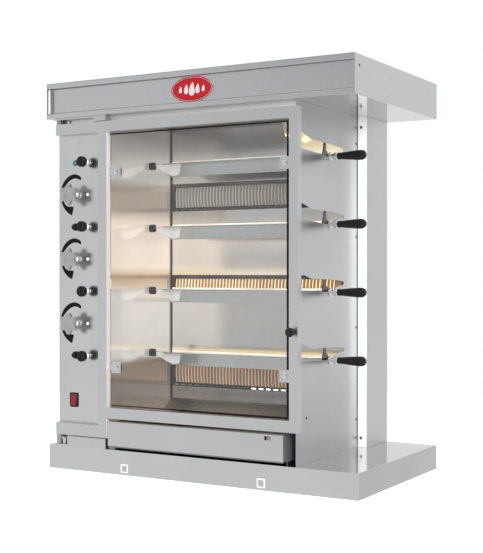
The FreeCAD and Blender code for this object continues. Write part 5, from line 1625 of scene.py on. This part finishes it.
@dataclass
class Drawer(Assembly):
    """The drip-tray drawer and its rails."""

    parts: tuple[SheetPart, ...] = (
        # The ends of the drawer's front carry painted shade.
        SheetPart("drawer_front", "drawer_face", SHEET_X, 1.6, SIDE_SHEET,
                  lambda face: abs(face.normal.x) > 0.9),
        SheetPart("drip_tray", "drip_pan", TRAY_SHEET, 1.2),
        SheetPart("drawer_rails", "drawer_runners", SHEET_X, 0.5),
    )
    lip: float = 4.0 * MM
    lip_depth: float = 14.0 * MM
    side: float = 1.2 * MM
    side_drop: float = 3.0 * MM
    side_length: float = 300.0 * MM
    inset: float = 2.0 * MM

    def details(self) -> None:
        """The drawer's side sheets, the folded lip under its front and the plate behind its pull slot, all
        dark with painted shade.
        """
        low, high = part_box("drawer_front")
        foot, top = low.z - self.side_drop, high.z - self.side_drop
        start, end = high.y, low.y + self.side_length
        settle("drawer_cheeks", "drawer", "stainless",
               box((high.x - self.side, start, foot), (high.x, end, top), SIDE_SHEET, 0.3 * MM),
               box((low.x, start, foot), (low.x + self.side, end, top), SIDE_SHEET, 0.3 * MM),
               box((low.x + self.inset, low.y + self.inset, low.z - self.lip),
                   (high.x - self.inset, low.y + self.lip_depth, low.z + MM), SIDE_SHEET, 0.4 * MM),
               box((high.x - 60.0 * MM, low.y + 4.0 * MM, high.z - 30.0 * MM),
                   (high.x - 6.0 * MM, low.y + 5.0 * MM, high.z - 4.0 * MM), SLOT_SHADE, 0.3 * MM))


@dataclass
class Burner:
    """One burner: a pressed frame with a row of bowed fins in front of a backing plate."""

    index: int
    finish: Finish
    front: Finish
    pitch: float = 13.0 * MM
    thickness: float = 4.6 * MM
    depth: float = 11.0 * MM
    bow: float = -3.0 * MM
    lean: float = 0.02
    clearance: float = 2.0 * MM
    setback: float = 0.8 * MM

    def build(self, row: FinRow) -> tuple[bpy.types.Mesh, bpy.types.Mesh]:
        """Make the fins and their backing.

        Args:
            row: The tree that repeats a fin.

        Returns:
            The fins and their backing plate.
        """
        low, high = by_height("burner_fins")[self.index]
        count = int((high.x - low.x - 2 * self.thickness) / self.pitch)
        start = Vector((low.x + self.thickness * 1.5, low.y + self.depth / 2 + self.setback,
                        (low.z + high.z) / 2))
        fins = row.run(
            f"burner_fins_{self.index + 1}", [start], Count=count, Pitch=self.pitch,
            Size=(self.thickness, self.depth, high.z - low.z - self.clearance), Bow=self.bow, Lean=self.lean,
            Finish=self.finish.material(), Front_Finish=self.front.material())
        backing = plate([(low.x, low.z), (high.x, low.z), (high.x, high.z), (low.x, high.z)],
                        high.y - 2.0 * MM, high.y, self.finish)
        return fins, backing


@dataclass
class Chamber(Assembly):
    """The cooking chamber: bright walls, ceiling lamp and burners."""

    parts: tuple[SheetPart, ...] = (
        SheetPart("chamber_right_wall", "right_wall_sheet", WALL_SHEET, 1.0),
        SheetPart("chamber_left_wall", "left_wall_sheet", BRIGHT_WALL, 0.6),
        SheetPart("chamber_back_wall", "back_wall_sheet", BACK_WALL, 0.6),
        SheetPart("drip_deflector", "sloped_deflector", WARM_SHEET, 1.0),
        SheetPart("burner_housings", "burner_frames", BURNER_SHEET, 0.8),
        # The ceiling's near-black is painted shade.
        SheetPart("chamber_ceiling", "ceiling_sheet", CEILING_SHEET, 1.2, LINTEL_SHEET,
                  lambda face: face.normal.y < -0.5),
    )
    post: float = 5.0 * MM
    post_gap: float = 0.3 * MM
    lit_span: tuple[float, float] = (-2.0 * MM, 146.0 * MM)
    lit_rise: tuple[float, float] = (1.0 * MM, 10.0 * MM)
    lamp_ring: Profile = ((0.0, 0.0), (0.0, 1.0), (0.09, 0.98), (0.13, 0.82), (0.11, 0.0))
    lamp_dome: Profile = ((0.11, 0.0), (0.11, 0.78), (0.7, 0.72), (0.9, 0.45), (1.0, 0.0))

    def corner(self) -> None:
        """A near-black post where the left wall meets the back wall: painted shade in the chamber's corner.
        """
        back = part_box("chamber_back_wall")[0]
        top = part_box("chamber_ceiling")[0].z
        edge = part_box("chamber_left_wall")[1].x + self.post_gap
        wall = back.y - self.post_gap
        settle("corner_painted_shade", "oven", "burner_steel",
               box((edge, wall - self.post, back.z), (edge + self.post, wall, top), DARK_STEEL))

    def lamp(self) -> None:
        """The ceiling lamp: a bright ring round a lit dome."""
        low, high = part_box("oven_lamp")
        middle = (low + high) / 2
        start = Vector((middle.x, middle.y, high.z))
        units = (high.z - low.z, (high.x - low.x) / 2)
        stand_in("ceiling_lamp", "oven_lamp",
                 turned(start, DOWNWARD, self.lamp_ring, CHROME, units, 1.2 * MM),
                 turned(start, DOWNWARD, self.lamp_dome, LAMP_GLASS, units, 6.0 * MM, steps=6))

    def slot_light(self) -> None:
        """The light that shows through a few air slots of the lowest burner."""
        base = by_height("burner_housings")[0][0].z
        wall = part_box("chamber_back_wall")[1].y
        left, right = self.lit_span
        foot, top = (base + rise for rise in self.lit_rise)
        outline = [(left, foot), (right, foot), (right, top), (left, top)]
        settle("slot_light", "oven", "lamp_glass",
               plate(outline, wall + 0.4 * MM, wall + 1.2 * MM, SLOT_LIGHT))

    def burners(self) -> None:
        """The fins of the three burners, the lowest first."""
        row = FinRow()
        # The top burner is unlit; its faint glow is painted light.
        looks = ((WARM_FINS, WARM_EDGES), (LIT_FINS, LIT_EDGES), (UNLIT_FINS, UNLIT_EDGES))
        rows = [Burner(index, *look).build(row) for index, look in enumerate(looks)]
        for index, meshes in enumerate(rows):
            replaced = ["burner_fins"] if index == 0 else []
            settle(f"fin_bank_{index + 1}", "oven", "burner_steel", *meshes, nodes=replaced)

    def details(self) -> None:
        """Make the corner post of painted shade, the lamp and what stands on the back wall."""
        self.corner()
        self.lamp()
        self.slot_light()
        self.burners()


@dataclass
class Spit:
    """One spit: the angle bar with its disc and rings, the drive socket and the handle."""

    number: int
    grooves: int = 3
    groove: float = 1.6 * MM
    bead: float = 3.6 * MM
    bead_start: float = 76.0 * MM
    bead_rise: float = 8.0 * MM
    bead_end: float = 20.0 * MM
    stop_reach: float = 22.0 * MM
    neck: Profile = (
        (6.0, 3.5), (26.0, 3.5), (112.0, 3.0), (104.0, -34.0), (78.0, -37.0), (46.0, -25.0), (14.0, -6.0))
    stop: Profile = ((-15.0, -8.0), (17.0, -8.0), (8.0, 44.0), (-2.0, 46.0))

    def outline(self, points: Profile, run: float, z: float, ease: float) -> list[tuple[float, float]]:
        """Place a closed outline that is given in millimetres, and ease its corners.

        Args:
            points: The outline's corners.
            run: Where its first axis has 0.
            z: Where its second axis has 0.
            ease: How far from a corner its curve starts.

        Returns:
            The outline's points.
        """
        return rounded([(run + a * MM, z + b * MM) for a, b in (*points, points[0])], ease)[:-1]

    def fittings(self) -> None:
        """The rolled upper edge of the blade, which glows as a painted highlight, the upright stop plate
        beside its disc, and its neck, which glows as painted light.
        """
        socket, bar = solids(f"spit_bar_{self.number}")
        axis = (socket[0] + socket[1]) / 2
        start = Vector((bar[0].x + self.bead_start, axis.y, axis.z + self.bead_rise))
        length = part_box("chamber_right_wall")[0].x - self.bead_end - start.x
        right = start.x + length
        # The rolled edge and the neck glow: painted highlight and painted light.
        edge = turned(start, RIGHTWARD, ((0.0, 0.0), (0.0, 1.0), (1.0, 1.0), (1.0, 0.0)), EDGE_STEEL,
                      (length, self.bead), 2.0 * MM, 16)
        stop = plate(self.outline(self.stop, axis.y, axis.z, 2.0 * MM), right, right + 4.0 * MM, DISC_STEEL,
                     sideways=True)
        neck = plate(self.outline(self.neck, bar[0].x, axis.z, 3.0 * MM), axis.y - 2.6 * MM,
                     axis.y - 1.4 * MM, NECK_STEEL)
        settle(f"spit_edge_{self.number}", f"spit_{self.number}", "bright_steel", edge, stop, neck)

    def bar(self) -> None:
        """Round the bar, and finish its socket, the turned end outside the chamber and the disc before it."""
        node = f"spit_bar_{self.number}"
        mesh = refined(node, SPIT_STEEL, 0.5)
        for finish in (KNOB_BLACK, CHROME, DISC_STEEL):
            mesh.materials.append(finish.material())
        socket = solids(node)[0][1].x + 0.1 * MM
        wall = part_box("chamber_right_wall")[0].x
        for face in mesh.polygons:
            if face.center.x < socket:
                face.material_index = 1
            elif face.center.x > wall:
                face.material_index = 2
            elif face.center.x > wall - self.stop_reach:
                face.material_index = 3
        stand_in(f"spit_blade_{self.number}", node, mesh)

    def handle(self) -> None:
        """A tapered handle with a ferrule and shallow grip grooves."""
        node = f"spit_handle_{self.number}"
        low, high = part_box(node)
        start = Vector((low.x, (low.y + high.y) / 2, (low.z + high.z) / 2))
        length = high.x - low.x
        half = self.groove / length
        grip = [(0.0, 0.0), (0.0, 0.66), (0.05, 0.70), (0.09, 0.64), (0.35, 0.78)]
        for index in range(self.grooves):
            middle, swell = 0.50 + 0.075 * index, 0.03 * index
            grip += [(middle - half, 0.88 + swell), (middle, 0.85 + swell), (middle + half, 0.89 + swell)]
        grip += [(0.76, 1.0), (0.88, 0.99), (0.97, 0.72), (1.0, 0.3), (1.0, 0.0)]
        stand_in(f"spit_grip_{self.number}", node, turned(
            start, RIGHTWARD, grip, KNOB_BLACK, (length, (high.z - low.z) / 2), 3.0 * MM))

    def build(self) -> None:
        """Make the spit."""
        self.bar()
        self.fittings()
        self.handle()


@dataclass
class Fasteners:
    """Screws on the casing, bolts on the brackets and the heads and nuts on the pane's clips."""

    head: float = 5.0 * MM
    height: float = 2.4 * MM
    front_half: float = 250.0 * MM
    lower_half: float = 500.0 * MM
    bolt_head: float = 8.0 * MM
    clip_head: float = 8.0 * MM
    clip_height: float = 2.6 * MM
    clip_depth: float = 3.0 * MM
    crease: float = 50.0

    def screws(self, recipe: DomeScrews) -> None:
        """Put a domed head at each modelled screw, by the way it faces, and a bolt at each upright one.

        Args:
            recipe: The tree that makes the heads.
        """
        groups: dict[Facing, list[Vector]] = {facing: [] for facing in Facing}
        sunk = self.height * 1.2
        bolts = []
        for low, high in solids("case_screws"):
            middle = (low + high) / 2
            size = high - low
            if size.z > size.x + MM:
                bolts.append(self.bolt(low, high))
            elif size.x > size.y:
                facing, place = (Facing.RIGHT, high.x - sunk) if low.x > 0.0 else (Facing.LEFT, low.x + sunk)
                groups[facing].append(Vector((place, middle.y, middle.z)))
            else:
                front = middle.y < self.front_half
                facing, place = (Facing.FRONT, low.y + sunk) if front else (Facing.BACK, high.y - sunk)
                groups[facing].append(Vector((middle.x, place, middle.z)))
        heads = [recipe.run(f"screws_{facing.name.lower()}", places, Radius=self.head, Height=self.height,
                            Turn=facing.value, Finish=DARK_SCREW.material())
                 for facing, places in groups.items() if places]
        whole = joined(heads + bolts)
        smooth(whole, self.crease)
        stand_in("casing_screws", "case_screws", whole)

    def bolt(self, low: Vector, high: Vector) -> bpy.types.Mesh:
        """A hexagon bolt inside a box.

        Args:
            low: The box's lowest corner.
            high: Its highest corner.

        Returns:
            The bolt.
        """
        middle = (low + high) / 2
        length = high.z - low.z
        shank = length - self.bolt_head
        upright = middle.z < self.lower_half
        start = Vector((middle.x, middle.y, low.z if upright else high.z))
        profile = ((0.0, 0.0), (0.0, 0.55), (shank, 0.55), (shank, 1.0), (length - MM, 1.0), (length, 0.86),
                   (length, 0.0))
        return turned(start, -DOWNWARD if upright else DOWNWARD, profile, SCREW_STEEL,
                      (1.0, (high.x - low.x) / 2), sides=6)

    def clips(self, recipe: DomeScrews) -> None:
        """Domed heads and round nuts on the clips that hold the pane.

        Args:
            recipe: The tree that makes the heads.
        """
        places, nuts = [], []
        for low, high in solids("clip_screws"):
            x, z = (low.x + high.x) / 2, (low.z + high.z) / 2
            end = high.y - low.y - self.clip_depth
            places.append(Vector((x, low.y + 2.9 * MM, z)))
            nuts.append(turned(Vector((x, low.y + self.clip_depth, z)), -FORWARD, (
                (0.0, 0.0), (0.0, 3.0), (6.8 * MM, 3.0), (6.8 * MM, 5.0), (end, 5.0), (end, 0.0)),
                SCREW_STEEL, (1.0, MM), sides=12))
        heads = recipe.run("clip_heads", places, Radius=self.clip_head, Height=self.clip_height,
                           Turn=Facing.FRONT.value, Finish=SCREW_STEEL.material())
        whole = joined([heads, *nuts])
        smooth(whole, self.crease)
        stand_in("pane_screws", "clip_screws", whole)

    def build(self) -> None:
        """Make every screw, bolt and nut."""
        recipe = DomeScrews()
        self.screws(recipe)
        self.clips(recipe)


@dataclass
class InnerParts:
    """Parts behind the panels, kept as modelled and given their finishes."""

    finishes: tuple[tuple[str, Finish], ...] = (
        ("gas_manifold", ZINC), ("gas_inlet", BRASS), ("gas_valves", BRASS), ("burner_feed_pipes", COPPER),
        ("gear_motors", ZINC), ("cable_gland", KNOB_BLACK))

    def build(self) -> None:
        """Finish each part."""
        for node, finish in self.finishes:
            dress(node, finish)


@dataclass(frozen=True)
class SoftLamp:
    """A square lamp: where it stands, what it looks at, its side and its power in watts."""

    name: str
    place: tuple[float, float, float]
    target: tuple[float, float, float]
    side: float
    watts: float


@dataclass
class Studio:
    """Camera, pale floor, surroundings and soft lamps."""

    camera_place: tuple[float, float, float] = (1.9701, -3.3704, 0.6721)
    camera_azimuth: float = 30.21
    camera_dip: float = 0.26
    lens: float = 74.7
    floor_radius: float = 2.6
    floor_sides: int = 64
    shades: tuple[tuple[float, float], ...] = (
        (-180.0, 0.82), (-158.0, 0.77), (-140.0, 0.68), (-90.0, 0.78), (-30.0, 0.62), (10.0, 0.60),
        (22.0, 0.82), (30.0, 0.78), (42.0, 0.76), (80.0, 0.70), (140.0, 0.85), (180.0, 0.80))
    lamps: tuple[SoftLamp, ...] = (
        SoftLamp("key_lamp", (-2.4, -3.2, 3.2), (0.0, 0.0, 0.7), 2.6, 55.0),
        SoftLamp("top_lamp", (0.4, -0.6, 3.6), (0.0, 0.0, 0.8), 2.8, 70.0),
        SoftLamp("side_lamp", (2.9, -2.9, 1.5), (0.35, 0.1, 0.7), 1.8, 165.0))
    glow: Color = (1.0, 0.72, 0.40)
    glow_watts: float = 0.6
    glow_radius: float = 30.0 * MM

    def camera(self) -> None:
        """Stand the camera where the photograph was taken."""
        data = bpy.data.cameras.new("camera")
        data.lens = self.lens
        data.sensor_width = 36.0
        data.clip_end = 50.0
        item = placed("camera", data)
        item.location = self.camera_place
        item.rotation_euler = (math.radians(90.0 - self.camera_dip), 0.0, math.radians(self.camera_azimuth))
        bpy.context.scene.camera = item

    def seen(self, canvas: Canvas, *kinds: str) -> bpy.types.NodeSocket:
        """Tell whether the ray is one of some kinds.

        Args:
            canvas: The tree to read in.
            *kinds: Names of the light path's outputs.

        Returns:
            An output that is 1 for those rays.
        """
        path = canvas.node("ShaderNodeLightPath").outputs
        total = path[kinds[0]]
        for kind in kinds[1:]:
            total = canvas.math("MAXIMUM", total, path[kind])
        return total

    def surroundings(self) -> None:
        """A white room for the eye, paler or greyer by direction in reflections, and a soft light."""
        world = bpy.data.worlds.new("studio")
        bpy.context.scene.world = world
        world.use_nodes = True
        world.node_tree.nodes.clear()
        canvas = Canvas(world.node_tree)
        way = canvas.parts(canvas.node("ShaderNodeTexCoord").outputs["Generated"])
        left = canvas.math("ARCTAN2", canvas.math("MULTIPLY", way[0], -1.0),
                           canvas.math("MULTIPLY", way[1], -1.0))
        turn = canvas.math("MULTIPLY_ADD", left, 1.0 / math.tau)
        canvas.fill(turn.node, {2: 0.5})
        room = canvas.ramp(turn, [(0.5 + angle / 360.0, (shade, shade, shade * 1.01))
                                  for angle, shade in self.shades], bent=True)
        above = canvas.span(way[2], 0.30, 0.70, 0.0, 1.0)
        lifted = canvas.blend(above, room, WHITE)
        high = canvas.span(way[2], 0.118, 0.165, 0.0, 1.0)
        frontal = canvas.math("MULTIPLY", canvas.span(left, math.radians(22.0), math.radians(42.0), 1.0, 0.0),
                              canvas.span(left, math.radians(-90.0), math.radians(-50.0), 0.0, 1.0))
        shadow = canvas.math("MULTIPLY", canvas.math("MULTIPLY", high, frontal),
                             canvas.math("SUBTRACT", 1.0, above))
        reflected = canvas.blend(canvas.math("MULTIPLY", shadow, 0.9), lifted, (0.22, 0.23, 0.24))
        picture = canvas.blend(self.seen(canvas, "Is Glossy Ray"), WHITE, reflected)
        shown = self.seen(canvas, "Is Camera Ray", "Is Glossy Ray", "Is Transmission Ray")
        backdrop = canvas.node("ShaderNodeBackground", None, {"Color": picture, "Strength": 1.0})
        light = canvas.node("ShaderNodeBackground", None, {"Color": (*WHITE, 1.0), "Strength": 0.6})
        mixed = canvas.node("ShaderNodeMixShader", None, {0: shown, 1: light, 2: backdrop})
        canvas.node("ShaderNodeOutputWorld", None, {"Surface": mixed})

    def floor(self) -> None:
        """A pale round floor that keeps the oven's shadow."""
        angles = [math.tau * index / self.floor_sides for index in range(self.floor_sides)]
        ring = [(self.floor_radius * math.cos(angle), self.floor_radius * math.sin(angle), -0.5 * MM)
                for angle in angles]
        mesh = bpy.data.meshes.new("studio_floor")
        mesh.from_pydata(ring, [], [list(range(self.floor_sides))])
        material, canvas, shader = blank("floor_paper")
        texture = canvas.pattern(PATTERNS.mould, Scale=160.0, Depth=0.1)
        pale = canvas.span(texture.outputs["Shade"], 0.3, 0.7, 0.80, 0.84)
        canvas.fill(shader, {"Base Color": pale, "Roughness": 0.9})
        shown = self.seen(canvas, "Is Camera Ray", "Is Transmission Ray")
        shine = canvas.node("ShaderNodeEmission", None, {
            "Color": (*WHITE, 1.0), "Strength": canvas.math("MULTIPLY", shown, 0.5)})
        both = canvas.node("ShaderNodeAddShader", None, {0: shader, 1: shine})
        mirrored = canvas.node("ShaderNodeEmission", None, {"Color": (*WHITE, 1.0), "Strength": 0.76})
        canvas.cover(canvas.node("ShaderNodeMixShader", None, {
            0: self.seen(canvas, "Is Glossy Ray"), 1: both, 2: mirrored}))
        mesh.materials.append(material)
        placed("studio_floor", mesh)

    def lamp(self, kind: str, name: str, place: Sequence[float], watts: float) -> bpy.types.Object:
        """Place a lamp that no mirror or pane shows.

        Args:
            kind: The kind of lamp.
            name: Its name.
            place: Where it stands.
            watts: Its power.

        Returns:
            The lamp.
        """
        data = bpy.data.lights.new(name, kind)
        data.energy = watts
        item = placed(name, data)
        item.location = place
        item.visible_glossy = False
        item.visible_transmission = False
        return item

    def light(self) -> None:
        """Aim the soft lamps at the oven, and light the chamber under its ceiling lamp."""
        for lamp in self.lamps:
            item = self.lamp("AREA", lamp.name, lamp.place, lamp.watts)
            item.data.size = lamp.side
            view = Vector(lamp.target) - Vector(lamp.place)
            item.rotation_euler = view.to_track_quat("-Z", "Y").to_euler()
        low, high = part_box("oven_lamp")
        middle = (low + high) / 2
        place = (middle.x, middle.y, low.z - self.glow_radius)
        item = self.lamp("POINT", "chamber_light", place, self.glow_watts)
        item.data.color = self.glow
        item.data.shadow_soft_size = self.glow_radius
        item.visible_camera = False

    def build(self) -> None:
        """Set up the whole studio."""
        self.camera()
        self.surroundings()
        self.floor()
        self.light()
        bpy.context.scene.view_settings.view_transform = "Standard"


def main() -> None:
    """Build the oven's pieces in order, then the studio."""
    logging.basicConfig(level=logging.INFO, format="%(name)s: %(message)s")
    for assembly in (Casing(), Badge(), ControlPanel(), Door(), Drawer(), Chamber(),
                     *(Spit(number) for number in (1, 2, 3, 4)), Fasteners(), InnerParts(), Studio()):
        assembly.build()


if __name__ == "__main__":
    main()
